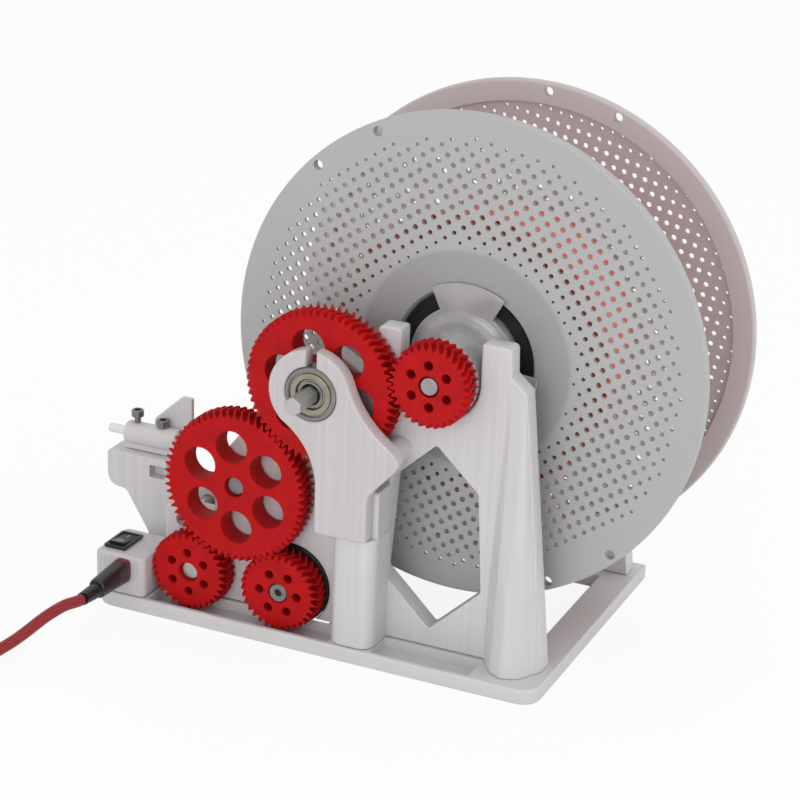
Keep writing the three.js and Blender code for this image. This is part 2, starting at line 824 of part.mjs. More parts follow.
// Bracket: a clamp ring round the bearing on an arm that spreads to its foot and its side lug.
function bracketShape() {
  const shape = new THREE.Shape();
  const { x, z } = upperIdler;
  const half = bracketSlitWidth / 2;
  const slitAngle = Math.asin(half / bracketRingRadius);
  const seat = bearingRadius + bearingSeatPlay;
  const seatAngle = Math.asin(half / seat);
  const quarter = Math.PI / 2;
  const foot = postRoundness / 3;
  shape.moveTo(bracketLeft, bracketElbow);
  shape.lineTo(bracketLeft, bracketBottom + foot);
  shape.absarc(bracketLeft + foot, bracketBottom + foot, foot, 2 * quarter, 3 * quarter, false);
  shape.absarc(bracketRight - foot / 2, bracketBottom + foot / 2, foot / 2, -quarter, 0, false);
  shape.lineTo(bracketRight, bracketElbow);
  shape.absarc(bracketTip.x, bracketTip.z, bracketTipRadius, degrees(-110), degrees(52), false);
  const armRight = degrees(-12);
  const ringEnd = new THREE.Vector2(
    x + bracketRingRadius * Math.cos(armRight), z + bracketRingRadius * Math.sin(armRight));
  shape.quadraticCurveTo(
    ringEnd.x + bracketTipRadius / 2, (bracketTip.z + ringEnd.y) / 2, ringEnd.x, ringEnd.y);
  shape.absarc(x, z, bracketRingRadius, armRight, quarter - slitAngle, false);
  shape.absarc(x, z, seat, quarter - seatAngle, quarter + seatAngle, true);
  shape.absarc(x, z, bracketRingRadius, quarter + slitAngle, degrees(228), false);
  shape.quadraticCurveTo(
    bracketLeft - foot, lowerIdler.z + largePitchRadius - foot, bracketLeft, bracketElbow);
  return shape;
}

function addBracket() {
  const holes = bracketScrewPlaces.map(bracketScrewHole);
  addPiece("bearing_bracket", cut(plate(bracketShape(), bracketFront, bracketBack, 10), ...holes), whitePrint);
}

// Ball bearings, each as its outer ring with shield and its inner ring.
function addBearing(name, axis, front) {
  const back = front + bearingWidth;
  addPiece(
    `${name}_outer_ring`,
    tube(bearingInnerRadius + gap, bearingRadius, front, back, axis, bearingSides), steel);
  addPiece(
    `${name}_inner_ring`,
    tube(shaftRadius + gap, bearingInnerRadius, front, back, axis, bearingSides), steel);
}

function addBearings() {
  addBearing("bracket_bearing", upperIdler, bracketFront);
  addBearing("idler_bearing", upperIdler, wallBearingFront);
  addBearing("traverse_front_bearing", traverseAxis, wallBearingFront);
  addBearing("traverse_rear_bearing", traverseAxis, rearWallFace);
}

// Shafts of the idlers.
function addIdlerShafts() {
  const hexBack = frontWallBack + shaftRadius + gap;
  addPiece(
    "hex_drive_shaft", rod(shaftRadius, bracketFront - hexShaftProud, hexBack, upperIdler, 6), steel);
  addPiece(
    "hex_shaft_collar",
    tube(shaftRadius + gap, shaftRadius + gap + gap + shaftRadius / 2, frontWallBack + gap, hexBack, upperIdler),
    steel);
  addPiece(
    "lower_idler_axle",
    rod(shaftRadius, gearFront + axleRecess, frontWallBack - gap, lowerIdler, shaftSides), steel);
}

// Motor.
function addMotor() {
  const gearboxFront = frontWallFace - gap;
  const gearboxBack = gearboxFront + gearboxLength;
  const canBack = gearboxBack + gap + motorLength;
  addPiece(
    "motor_gearbox",
    tube(shaftRadius + gap, gearboxRadius, gearboxFront, gearboxBack, motorAxis, 28), blackPlastic);
  addPiece(
    "motor_can", rod(motorRadius, gearboxBack + gap, canBack, motorAxis, 24), steel);
  const capRadius = motorRadius - motorCapInset;
  const cap = turned([
    [0, canBack + gap], [capRadius, canBack + gap], [capRadius, canBack + motorCapLength],
    [motorBossRadius, canBack + motorCapLength],
    [motorBossRadius - motorCapInset, canBack + terminalHeight], [0, canBack + terminalHeight],
  ], motorAxis, 24);
  addPiece("motor_end_cap", cap, blackPlastic);
  const shaftFront = gearFront + gap;
  const shaft = turned([
    [0, shaftFront + shaftRadius], [screwShankRadius, shaftFront + shaftRadius],
    [screwShankRadius, shaftFront], [shaftRadius, shaftFront], [shaftRadius, gearboxBack - gap],
    [0, gearboxBack - gap],
  ], motorAxis, shaftSides);
  addPiece("motor_shaft", shaft, steel);
}

// Spool.
function perforations(turn) {
  const holes = [];
  for (let ring = 0; ring < perforationRings; ring += 1) {
    const radius = spoolCoreRadius + perforationStart + ring * perforationRingPitch;
    const count = Math.round((2 * Math.PI * radius) / perforationPitch);
    for (let i = 0; i < count; i += 1) {
      const angle = turn + (2 * Math.PI * (i + ring / 2)) / count;
      const centre = { x: radius * Math.cos(angle), z: radius * Math.sin(angle) };
      holes.push(circlePoints(perforationRadius, 4, centre));
    }
  }
  return holes;
}

// Two pairs of holes through the rim, opposite each other, that hold the filament's end.
function rimHoles(turn) {
  const holes = [];
  const radius = spoolRadius - rimHoleInset;
  for (const side of [-1, 1]) {
    const angle = turn + (side * rimHoleSpread) / (2 * radius);
    for (const opposite of [0, Math.PI]) {
      const centre = {
        x: radius * Math.cos(angle + opposite), z: radius * Math.sin(angle + opposite),
      };
      holes.push(circlePoints(rimHoleRadius, 6, centre));
    }
  }
  return holes;
}

// Half a spool: flange with its web cut thin from the inside, core, and a bore that opens outwards.
function spoolHalf(face, inward, turn) {
  const holes = [circlePoints(spoolBoreRadius, 28), ...perforations(turn), ...rimHoles(turn)];
  const inner = face + inward * flangeThickness;
  const middle = (spoolFront + spoolBack) / 2 - (inward * gap) / 2;
  const rim = circlePoints(spoolRadius, 56);
  const span = (from, to) => [Math.min(from, to), Math.max(from, to)];
  const flange = stackedGeometry(span(face, inner), [rim, rim], holes);
  const core = tube(
    spoolBoreRadius, spoolCoreRadius, ...span(face + (inward * flangeThickness) / 2, middle), onAxis, 28);
  const recess = tube(
    spoolCoreRadius + flangeHubWidth, spoolRadius - flangeRimWidth,
    ...span(face + inward * flangeWebThickness, inner + inward * overrun), onAxis, 36);
  const slope = spoolBoreFlare / flangeThickness;
  const flareProfile = [
    [0, face - inward * overrun], [spoolBoreRadius + spoolBoreFlare + slope * overrun, face - inward * overrun],
    [spoolBoreRadius, inner], [0, inner],
  ];
  if (inward < 0) flareProfile.reverse();
  const solid = cut(joined(flange, core), recess, turned(flareProfile, onAxis, 28));
  return solid.translate(spoolCentre.x, 0, spoolCentre.z);
}

function addSpool() {
  addPiece("spool_front_half", spoolHalf(spoolFront, 1, degrees(frontRimDirection)), greyMould);
  addPiece("spool_rear_half", spoolHalf(spoolBack, -1, degrees(rearRimDirection)), greyMould);
}

// Rings of a tube round a route of points, closed by a flat end at each side.
function woundTube(route, radius, sides, up) {
  const rings = route.map((point, i) => {
    const before = route[Math.max(i - 1, 0)];
    const after = route[Math.min(i + 1, route.length - 1)];
    const along = after.clone().sub(before).normalize();
    const side = new THREE.Vector3().crossVectors(along, up).normalize();
    const lift = new THREE.Vector3().crossVectors(along, side);
    const ring = [];
    for (let k = 0; k < sides; k += 1) {
      const angle = (2 * Math.PI * k) / sides;
      const spot = point.clone()
        .addScaledVector(side, radius * Math.cos(angle))
        .addScaledVector(lift, radius * Math.sin(angle));
      ring.push([spot.x, spot.y, spot.z]);
    }
    return ring;
  });
  return loft(rings);
}

// The outer layer of filament: one helix over a plain core, both narrowing towards the rear.
const windingFront = spoolFront + flangeThickness + filamentDiameter;
const windingBack = spoolBack - flangeThickness - filamentDiameter;

function woundRadiusAt(y) {
  const share = (y - windingFront) / (windingBack - windingFront);
  return spoolCoreRadius + woundDepth + (rearWoundDepth - woundDepth) * share;
}

function windingRoute() {
  const route = [];
  const count = windingLoops * windingSteps;
  for (let i = 0; i <= count; i += 1) {
    const angle = (2 * Math.PI * i) / windingSteps;
    const y = windingFront + ((windingBack - windingFront) * i) / count;
    const radius = woundRadiusAt(y) - filamentDiameter / 2;
    route.push(new THREE.Vector3(
      spoolCentre.x + radius * Math.cos(angle), y, spoolCentre.z + radius * Math.sin(angle)));
  }
  return route;
}

// The least distance between parts of a route that are at least half a turn apart, less the tube.
function leastGap(route, turn, diameter) {
  let least = Infinity;
  for (let i = 0; i < route.length; i += 1) {
    for (let k = i + Math.floor(turn / 2); k < route.length; k += 1) {
      least = Math.min(least, route[i].distanceTo(route[k]));
    }
  }
  return least - diameter;
}

function addFilament() {
  const flatShare = Math.cos(Math.PI / windingSteps);
  const front = spoolFront + flangeThickness + gap;
  const back = spoolBack - flangeThickness - gap;
  const outer = (y) => (woundRadiusAt(y) - filamentDiameter - gap - gap) * flatShare;
  const core = turned([
    [spoolCoreRadius + gap, front], [outer(front), front], [outer(back), back],
    [spoolCoreRadius + gap, back], [spoolCoreRadius + gap, front],
  ], spoolCentre, windingSteps * 2);
  addPiece("filament_core", core, orangeFilament);
  const route = windingRoute();
  const lift = new THREE.Vector3(0, 1, 0);
  const winding = woundTube(route, filamentDiameter / 2, windingSides, lift);
  addPiece("filament_winding", winding, orangeFilament);
  const least = leastGap(route, windingSteps, filamentDiameter);
  console.log(`filament winding, least gap to itself ${least.toFixed(2)} mm`);
}

// Hubs.
function lugShape(turn) {
  const shape = new THREE.Shape();
  const half = degrees(hubLugHalfAngle);
  for (let i = 0; i < hubLugs; i += 1) {
    const middle = turn + (2 * Math.PI * i) / hubLugs;
    const next = middle + (2 * Math.PI) / hubLugs;
    shape.absarc(0, 0, hubLugRadius, middle - half, middle + half, false);
    shape.absarc(0, 0, hubPlugRadius, middle + half, next - half, false);
  }
  return shape;
}

function hub(drumEnd, flangeFace, inward) {
  const lugOuter = flangeFace - inward * (gap + hubLugThickness);
  const lugInner = flangeFace - inward * gap;
  const plugEnd = flangeFace + inward * hubPlugLength;
  const lugs = plate(lugShape(Math.PI / 2), Math.min(lugOuter, lugInner), Math.max(lugOuter, lugInner), 5);
  const bodyStart = Math.min(drumEnd, plugEnd);
  const bodyEnd = Math.max(drumEnd, plugEnd);
  const step = flangeFace - inward * (gap + hubLugThickness / 2);
  const drum = rod(hubDrumRadius, Math.min(drumEnd, step), Math.max(drumEnd, step), onAxis, hubSides);
  const plug = rod(hubPlugRadius, Math.min(plugEnd, step), Math.max(plugEnd, step), onAxis, hubSides);
  const bore = rod(shaftRadius + gap, bodyStart - overrun, bodyEnd + overrun, onAxis, shaftSides);
  return cut(joined(drum, plug, lugs), bore).translate(spoolCentre.x, 0, spoolCentre.z);
}

function addHubs() {
  addPiece("front_hub", hub(gearBack + gap, spoolFront, 1), clearPrint);
  addPiece("rear_hub", hub(rearDrumEnd, spoolBack, -1), clearPrint);
  const ring = (start) => tube(
    hubPlugRadius + gap, spoolBoreRadius - gap, start, start + hubRingWidth, spoolCentre, hubSides);
  addPiece("front_grip_ring", ring(spoolFront + hubRingInset), blackRubber);
  addPiece("rear_grip_ring", ring(spoolBack - hubRingInset - hubRingWidth), blackRubber);
}

function addSpoolShaft() {
  const nutStart = rearDrumEnd + gap;
  addPiece(
    "spool_shaft",
    rod(shaftRadius, gearFront + gap, nutStart + nutLength + screwHeadHeight, spoolCentre, shaftSides), steel);
  const bore = rod(shaftRadius + gap, nutStart - overrun, nutStart + nutLength + overrun, spoolCentre);
  addPiece(
    "spool_shaft_nut",
    cut(rod(nutRadius, nutStart, nutStart + nutLength, spoolCentre, 6), bore), steel);
}

// Traverse screw and rod between the walls.
function addTraverse() {
  const screwFront = frontWallBack + gap;
  const screwBack = rearWallFace - gap;
  const shoulder = shaftRadius;
  const profile = [
    [0, gearFront + axleRecess], [shaftRadius, gearFront + axleRecess], [shaftRadius, screwFront],
    [bearingInnerRadius, screwFront], [bearingInnerRadius, screwFront + shoulder],
    [screwRadius, screwFront + shoulder], [screwRadius, screwBack - shoulder],
    [bearingInnerRadius, screwBack - shoulder], [bearingInnerRadius, screwBack],
    [shaftRadius, screwBack], [shaftRadius, rearWallBack - gap], [0, rearWallBack - gap],
  ];
  addPiece("traverse_screw", turned(profile, traverseAxis, 20), steel);
  addPiece(
    "guide_rod",
    rod(rodRadius, gap, rearWallBack - overrun - gap, guideRod, shaftSides), steel);
}

// Carriage: a block on the screw and the rod, a column and the head that holds the guide tube.
function carriageShape() {
  const shape = new THREE.Shape();
  const quarter = Math.PI / 2;
  const columnFar = carriageLeft + columnWidth;
  shape.moveTo(carriageRight, carriageBottom);
  shape.lineTo(carriageRight, carriageTop - headCorner);
  shape.absarc(carriageRight - headCorner, carriageTop - headCorner, headCorner, 0, quarter, false);
  shape.lineTo(columnFar + overrun, carriageTop);
  shape.lineTo(columnFar, carriageTop + overrun);
  shape.lineTo(columnFar, headTop);
  shape.lineTo(headLeft + overrun, headTop);
  shape.lineTo(headLeft, headTop - overrun);
  shape.lineTo(headLeft, headBottom + headCorner);
  shape.absarc(headLeft + headCorner, headBottom + headCorner, headCorner, 2 * quarter, 3 * quarter, false);
  shape.lineTo(carriageLeft, 2 * carriageBottom);
  shape.lineTo(carriageLeft, carriageBottom);
  shape.holes.push(roundHole(traverseAxis.x, traverseAxis.z, screwRadius + gap));
  shape.holes.push(roundHole(guideRod.x, guideRod.z, rodRadius + gap));
  return shape;
}

function addCarriage() {
  const pocket = block(
    carriageLeft, carriageLeft + headPocketWidth, carriageFront - overrun, carriageFront + clampRadius,
    headTop - neckHeight - headPocketHeight, headTop - neckHeight);
  const wells = [proudScrewX, seatedScrewX].map((x) => upright(
    rod(tubeScrewShank + gap, 0, clampRadius + overrun, onAxis, screwSides),
    x, tubeY, headTop - clampRadius));
  const pawlHole = upright(
    rod(pawlRadius + gap, traverseAxis.z, carriageTop + overrun, onAxis, 12), traverseAxis.x, tubeY, 0);
  const geometry = cut(plate(carriageShape(), carriageFront, carriageBack, 6), pocket, pawlHole, ...wells);
  addPiece("traverse_carriage", geometry, whitePrint);
  const seat = traverseAxis.z + screwRadius + gap;
  const pawl = rod(pawlRadius, seat, carriageTop - overrun, onAxis, 12);
  addPiece("follower_pawl", upright(pawl, traverseAxis.x, tubeY, 0), brass);
}

// Clamp round the guide tube, with the fin behind it.
function addTubeClamp() {
  const barrel = lengthwise(
    rod(clampRadius, 0, clampRight - clampLeft, onAxis, 14), clampLeft, tubeY, clampHeight);
  const neck = block(
    clampLeft, clampRight, tubeY - clampRadius / 2, tubeY + clampRadius / 2, headTop + gap, clampHeight);
  const finFoot = clampLeft + finFootInset;
  const finTop = clampHeight + finRise;
  const fin = outline([
    [finFoot, clampHeight], [tubeRight, clampHeight], [tubeRight, finTop],
    [tubeRight - finTipWidth, finTop], [finFoot, finTop - finSlopeHeight],
  ]);
  const finFront = tubeY + tubeScrewHead + gap + gap;
  const finPlate = plate(fin, finFront, finFront + finThickness);
  const bore = lengthwise(
    rod(tubeRadius + gap, -overrun, tubeRight - clampLeft + overrun, onAxis, 12),
    clampLeft, tubeY, clampHeight);
  const wells = [proudScrewX, seatedScrewX].map((x) => upright(
    rod(tubeScrewShank + gap, -clampRadius * 2, clampRadius + overrun, onAxis, screwSides),
    x, tubeY, clampHeight));
  addPiece("tube_clamp", cut(joined(barrel, neck, finPlate), bore, ...wells), whitePrint);
  const sleeve = lengthwise(
    tube(tubeBore, tubeRadius, 0, tubeRight - tubeLeft, onAxis, 12), tubeLeft, tubeY, clampHeight);
  addPiece("guide_tube", sleeve, clearPrint);
}

function tubeScrew(x, lift) {
  const seat = clampHeight + clampRadius + gap + lift;
  const tip = clampHeight + tubeRadius + gap + lift;
  const profile = [
    [0, tip], [tubeScrewShank, tip], [tubeScrewShank, seat], [tubeScrewHead, seat],
    [tubeScrewHead, seat + tubeScrewHeadHeight], [0, seat + tubeScrewHeadHeight],
  ];
  return upright(turned(profile, onAxis, screwSides), x, tubeY, 0);
}

function addTubeScrews() {
  addPiece("proud_tube_screw", tubeScrew(proudScrewX, proudScrewLift), darkSteel);
  addPiece("seated_tube_screw", tubeScrew(seatedScrewX, 0), darkSteel);
}

// Control box: a cover open at the bottom, with holes for the switch and the socket.
function addControlBox() {
  const outer = block(boxLeft, boxRight, baseFront, boxBack, wallBottom, boxTop);
  const inner = block(
    boxLeft + boxWall, boxRight - boxWall, baseFront + boxWall, boxBack - boxWall,
    wallBottom - overrun, boxTop - boxWall);
  const switchHole = block(
    rockerX - rockerWidth / 2 + rockerBezel - gap, rockerX + rockerWidth / 2 - rockerBezel + gap,
    rockerY - rockerLength / 2 + rockerBezel - gap, rockerY + rockerLength / 2 - rockerBezel + gap,
    boxTop - boxWall - overrun, boxTop + overrun);
  const socketHole = rod(
    socketRadius + gap, baseFront - overrun, baseFront + boxWall + overrun, { x: socketX, z: socketZ }, 14);
  addPiece("control_box", cut(outer, inner, switchHole, socketHole), whitePrint);
}

function addSwitch() {
  const bottom = boxTop + gap;
  const halfWidth = rockerWidth / 2;
  const halfLength = rockerLength / 2;
  const bezel = block(
    rockerX - halfWidth, rockerX + halfWidth, rockerY - halfLength, rockerY + halfLength,
    bottom, bottom + rockerBezelHeight);
  const body = block(
    rockerX - halfWidth + rockerBezel, rockerX + halfWidth - rockerBezel,
    rockerY - halfLength + rockerBezel, rockerY + halfLength - rockerBezel,
    bottom - rockerBodyDepth, bottom + gap);
  const well = block(
    rockerX - halfWidth + 2 * rockerBezel, rockerX + halfWidth - 2 * rockerBezel,
    rockerY - halfLength + 2 * rockerBezel, rockerY + halfLength - 2 * rockerBezel,
    bottom - rockerBodyDepth + boxWall, bottom + rockerBezelHeight + overrun);
  addPiece("switch_housing", cut(joined(bezel, body), well), blackPlastic);
}

// The rocker is drawn from its side, as a shallow V, and tipped one way.
const rockerPivotHeight = boxTop + gap;

function addRocker() {
  const half = rockerLength / 2 - 2 * rockerBezel - gap;
  const crown = rockerBezelHeight + rockerCrown / 2;
  const dip = rockerBezelHeight;
  const profile = new THREE.Shape();
  profile.moveTo(-half, crown);
  profile.lineTo(-half + rockerBezel / 2, -rockerBezel);
  profile.lineTo(half - rockerBezel / 2, -rockerBezel);
  profile.lineTo(half, crown);
  profile.lineTo(0, dip);
  const width = rockerWidth - 4 * rockerBezel - 2 * gap;
  const geometry = new THREE.ExtrudeGeometry(profile, { depth: width, bevelEnabled: false });
  geometry.translate(0, 0, -width / 2).rotateX(Math.PI / 2).rotateZ(Math.PI / 2);
  geometry.rotateX(degrees(-rockerTilt));
  addPiece("switch_rocker", geometry, blackPlastic)
    .position.set(rockerX, rockerY, rockerPivotHeight);
}

function addSocket() {
  const front = baseFront - gap;
  const profile = [
    [screwShankRadius, front - gap], [socketFlange, front - gap], [socketFlange, front],
    [socketRadius, front], [socketRadius, front + socketDepth], [screwShankRadius, front + socketDepth],
    [screwShankRadius, front - gap],
  ];
  addPiece("power_socket", turned(profile, { x: socketX, z: socketZ }, 14), blackPlastic);
}

// Plug, strain relief and cord. The cord falls to the ground and runs to its coil.
const plugAxis = { x: socketX, z: socketZ };
const plugFront = baseFront - 4 * gap;
const collarEnd = plugFront - plugCollarLength;
const plugEnd = collarEnd - gap - plugLength;
const reliefEnd = plugEnd - gap - reliefLength;

// The plug hangs a little askew in its socket, with its cord end up.
function tipped(geometry) {
  return geometry.translate(0, -plugFront, -socketZ)
    .rotateX(degrees(-plugTilt)).translate(0, plugFront, socketZ);
}

function addPlug() {
  const collar = tube(socketFlange - overrun, plugRadius + gap, collarEnd, plugFront, plugAxis, 14);
  addPiece("plug_collar", tipped(collar), redBraid);
  const tail = plugRadius - plugTaper;
  const body = turned([
    [0, plugEnd], [tail - plugTaper, plugEnd], [tail, plugEnd + plugTaper],
    [plugRadius, collarEnd - gap], [0, collarEnd - gap],
  ], plugAxis, 14);
  addPiece("plug_body", tipped(body), blackPlastic);
  const relief = turned([
    [0, reliefEnd], [cordDiameter / 2 + gap, reliefEnd], [plugRadius - 2 * overrun, plugEnd - gap],
    [0, plugEnd - gap],
  ], plugAxis, 12);
  addPiece("plug_strain_relief", tipped(relief), blackPlastic);
}

const cordPoints = [
  [-131, -55.7, 18.7], [-131.8, -58.8, 18.8], [-134.6, -61.4, 18], [-137.6, -65, 16.2],
  [-140.8, -69.6, 13.6], [-144, -75, 10.3], [-147.4, -80.6, 7.2], [-151.2, -86.6, 4.6],
  [-154.6, -93.4, 3], [-157.4, -101.5, cordRest], [-160.4, -112, cordRest], [-166, -125, cordRest],
  [-175, -137, cordRest], [-187, -145.8, cordRest], [-198, -149.4, cordRest], [-205.5, -149.75, cordRest],
];

// Cord coil: turns spiral in on the ground and out again on top of them.
const coilCentre = { x: -206.4, y: -116.5 };

function coilRoute() {
  const route = [];
  const count = coilLoops * coilSteps;
  const layerTurns = coilLoops / 2;
  for (let i = 0; i <= count; i += 1) {
    const turns = i / coilSteps;
    const angle = -Math.PI / 2 - 2 * Math.PI * turns;
    const inward = turns < layerTurns ? turns : coilLoops - turns;
    const climb = THREE.MathUtils.smoothstep(turns, layerTurns - 0.25, layerTurns + 0.25);
    const radius = coilRadius + (layerTurns / 2 - inward) * coilPitch;
    route.push(new THREE.Vector3(
      coilCentre.x + radius * Math.cos(angle), coilCentre.y + radius * Math.sin(angle),
      cordRest + climb * coilPitch));
  }
  return route;
}

// The free end leaves the top of the coil, comes down to the ground and ends in a flat plug.
const tailPoints = [
  [-214, -149.9, 7.7], [-222, -150.6, 6.2], [-230, -151.5, 4.6], [-238, -152, 4], [-244, -152, 4],
];
function tailRoute(coilEnd) {
  const points = [coilEnd, ...tailPoints.map((point) => new THREE.Vector3(...point))];
  return new THREE.CatmullRomCurve3(points, false, "centripetal").getSpacedPoints(8).slice(1);
}

function cordSolid(points, radius, sides, steps) {
  const curve = new THREE.CatmullRomCurve3(
    points.map((point) => new THREE.Vector3(...point)), false, "centripetal");
  const up = new THREE.Vector3(0, 0, 1);
  return woundTube(curve.getSpacedPoints(steps), radius, sides, up);
}

function addCord() {
  addPiece("power_cord", cordSolid(cordPoints, cordDiameter / 2, cordSides, 30), redBraid);
  const coil = coilRoute();
  const route = [...coil, ...tailRoute(coil[coil.length - 1])];
  const lift = new THREE.Vector3(0, 0, 1);
  addPiece("cord_coil", woundTube(route, cordDiameter / 2, coilSides, lift), redBraid);
  const least = leastGap(route, coilSteps, cordDiameter);
  console.log(`cord coil, least gap to itself ${least.toFixed(2)} mm`);
}

function addFarPlug() {
  const { length, width, height, start, y, z } = farPlug;
  const body = block(
    start - length, start, y - width / 2, y + width / 2, z - height / 2, z + height / 2);
  addPiece("far_plug_body", body, blackPlastic);
  const shellStart = start - length - gap;
  const shell = block(
    shellStart - farShell.length, shellStart, y - farShell.width / 2, y + farShell.width / 2,
    z - farShell.height / 2, z + farShell.height / 2);
  addPiece("far_plug_shell", shell, steel);
}

// Screws that hold the walls on the base and the bracket on the wall.
function screwProfile(length) {
  return [
    [0, 0], [screwHeadRadius, 0], [screwHeadRadius, screwHeadHeight],
    [screwShankRadius, screwHeadHeight], [screwShankRadius, length], [0, length],
  ];
}

function addFrameScrews() {
  const names = [
    "front_wall_screw_right", "front_wall_screw_left", "rear_wall_screw_right", "rear_wall_screw_left",
  ];
  const length = wallBottom + wallScrewReach;
  wallScrewPlaces.forEach((place, i) => {
    const screw = turned(screwProfile(length), onAxis, screwSides);
    addPiece(names[i], screw.rotateX(Math.PI / 2).translate(place.x, place.y, 0), darkSteel);
  });
  bracketScrewPlaces.forEach((place, i) => {
    const reach = frontWallBack + gap + screwHeadHeight - bracketScrewFront;
    const profile = screwProfile(reach).map(([radius, y]) => [radius, bracketScrewFront + reach - y]);
    profile.reverse();
    addPiece(i === 0 ? "bracket_screw_lower" : "bracket_screw_upper", turned(profile, place, screwSides), darkSteel);
  });
}

addBaseFrame();
addFrontWall();
addRearWall();
addBracket();
addBearings();
addIdlerShafts();
addGears();
addMotor();
addSpool();
addFilament();
addHubs();
addSpoolShaft();
addTraverse();
addCarriage();
addTubeClamp();
addTubeScrews();
addControlBox();
addSwitch();
addRocker();
addSocket();
addPlug();
addCord();
addFarPlug();
addFrameScrews();

export default model;
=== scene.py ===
"""Looks of a spool winder: geared walls, a perforated spool, a traverse and its cord."""

import logging
import math
from dataclasses import dataclass, field
from enum import Enum
from functools import lru_cache
from typing import Iterable, Optional, Sequence

import bpy
import numpy as np
from mathutils import Matrix, Vector
from mathutils.geometry import delaunay_2d_cdt


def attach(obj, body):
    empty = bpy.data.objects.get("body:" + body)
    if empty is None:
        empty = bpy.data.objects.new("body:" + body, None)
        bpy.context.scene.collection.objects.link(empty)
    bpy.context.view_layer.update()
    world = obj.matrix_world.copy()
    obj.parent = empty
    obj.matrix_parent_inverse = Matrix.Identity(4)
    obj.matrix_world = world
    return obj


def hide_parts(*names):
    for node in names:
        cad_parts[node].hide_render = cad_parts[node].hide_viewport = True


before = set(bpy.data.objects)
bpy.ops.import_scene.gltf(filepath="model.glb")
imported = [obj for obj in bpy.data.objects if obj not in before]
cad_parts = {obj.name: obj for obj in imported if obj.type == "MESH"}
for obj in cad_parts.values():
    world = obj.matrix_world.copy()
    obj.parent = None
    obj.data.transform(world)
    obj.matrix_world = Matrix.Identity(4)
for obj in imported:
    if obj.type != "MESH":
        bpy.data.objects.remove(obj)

log = logging.getLogger("filament_winder")

MM = 0.001
Grid = np.ndarray
Colour = tuple[float, float, float]
Corners = Sequence[Sequence[float]]

DRAWN_SCALES = (2600.0, 60.0, 2600.0)  # cells of the marks on drawn metal, per metre
SAME_POINT = 1e-4  # points of a loop that lie closer than this count as one, in mm
CLOSE_POINTS = 1e-7  # the same for the triangles of a face
TINY = 1e-9  # keeps what is divided by above zero
WHITE = (1.0, 1.0, 1.0, 1.0)


# ---------------------------------------------------------------- places shared by the pieces, X and Z


def step(start: Grid, degrees: float, distance: float) -> Grid:
    """The point a distance away from another in a direction."""
    return start + distance * np.array([math.cos(math.radians(degrees)), math.sin(math.radians(degrees))])


SMALL_TEETH = 32
LARGE_TEETH = 62
PAIR_SMALL = 47.3
PAIR_LARGE = 62.3
TO_UPPER = 191.3
TO_LOWER = 233.4
TO_TRAVERSE = 243.8
TO_MOTOR = 296.2

SPOOL_AXIS = np.array([0.0, 122.0])
UPPER = step(SPOOL_AXIS, TO_UPPER, PAIR_SMALL)
LOWER = step(UPPER, TO_LOWER, PAIR_LARGE)
TRAVERSE = step(LOWER, TO_TRAVERSE, PAIR_SMALL)
MOTOR = step(LOWER, TO_MOTOR, PAIR_SMALL)
ROD = np.array([-113.0, 38.0])
BRACKET_SCREWS = np.array([[-27.98, 64.28], [-15.48, 90.03]])


# ---------------------------------------------------------------- shader maths


class Value:
    """A shader socket on which Python arithmetic adds Math nodes."""

    def __init__(self, graph: "Graph", socket: bpy.types.NodeSocket) -> None:
        """Keep the graph that gets the nodes and the socket that the value comes from."""
        self.graph = graph
        self.socket = socket

    def _join(self, operation: str, first: object, second: object = 0.0) -> "Value":
        """Add one Math node.

        Args:
            operation: the node's operation.
            first: the first operand, a Value or a number.
            second: the second operand, a Value or a number.

        Returns:
            The value of the node's output.
        """
        return self.graph.node("ShaderNodeMath", {"operation": operation}, {0: first, 1: second})

    def __add__(self, other: object) -> "Value":
        """Sum."""
        return self._join("ADD", self, other)

    __radd__ = __add__

    def __sub__(self, other: object) -> "Value":
        """Difference."""
        return self._join("SUBTRACT", self, other)

    def __rsub__(self, other: object) -> "Value":
        """Difference with the value on the right."""
        return self._join("SUBTRACT", other, self)

    def __mul__(self, other: object) -> "Value":
        """Product."""
        return self._join("MULTIPLY", self, other)

    def sine(self) -> "Value":
        """Sine of an angle in radians."""
        return self._join("SINE", self)

    def size(self) -> "Value":
        """Absolute value."""
        return self._join("ABSOLUTE", self)

    def root(self) -> "Value":
        """Square root."""
        return self._join("SQRT", self)

    def between(self, low: float, high: float) -> "Value":
        """Smooth step from 0 at low to 1 at high."""
        inputs = {0: self, 1: low, 2: high, 3: 0.0, 4: 1.0}
        return self.graph.node("ShaderNodeMapRange", {"interpolation_type": "SMOOTHSTEP"}, inputs)


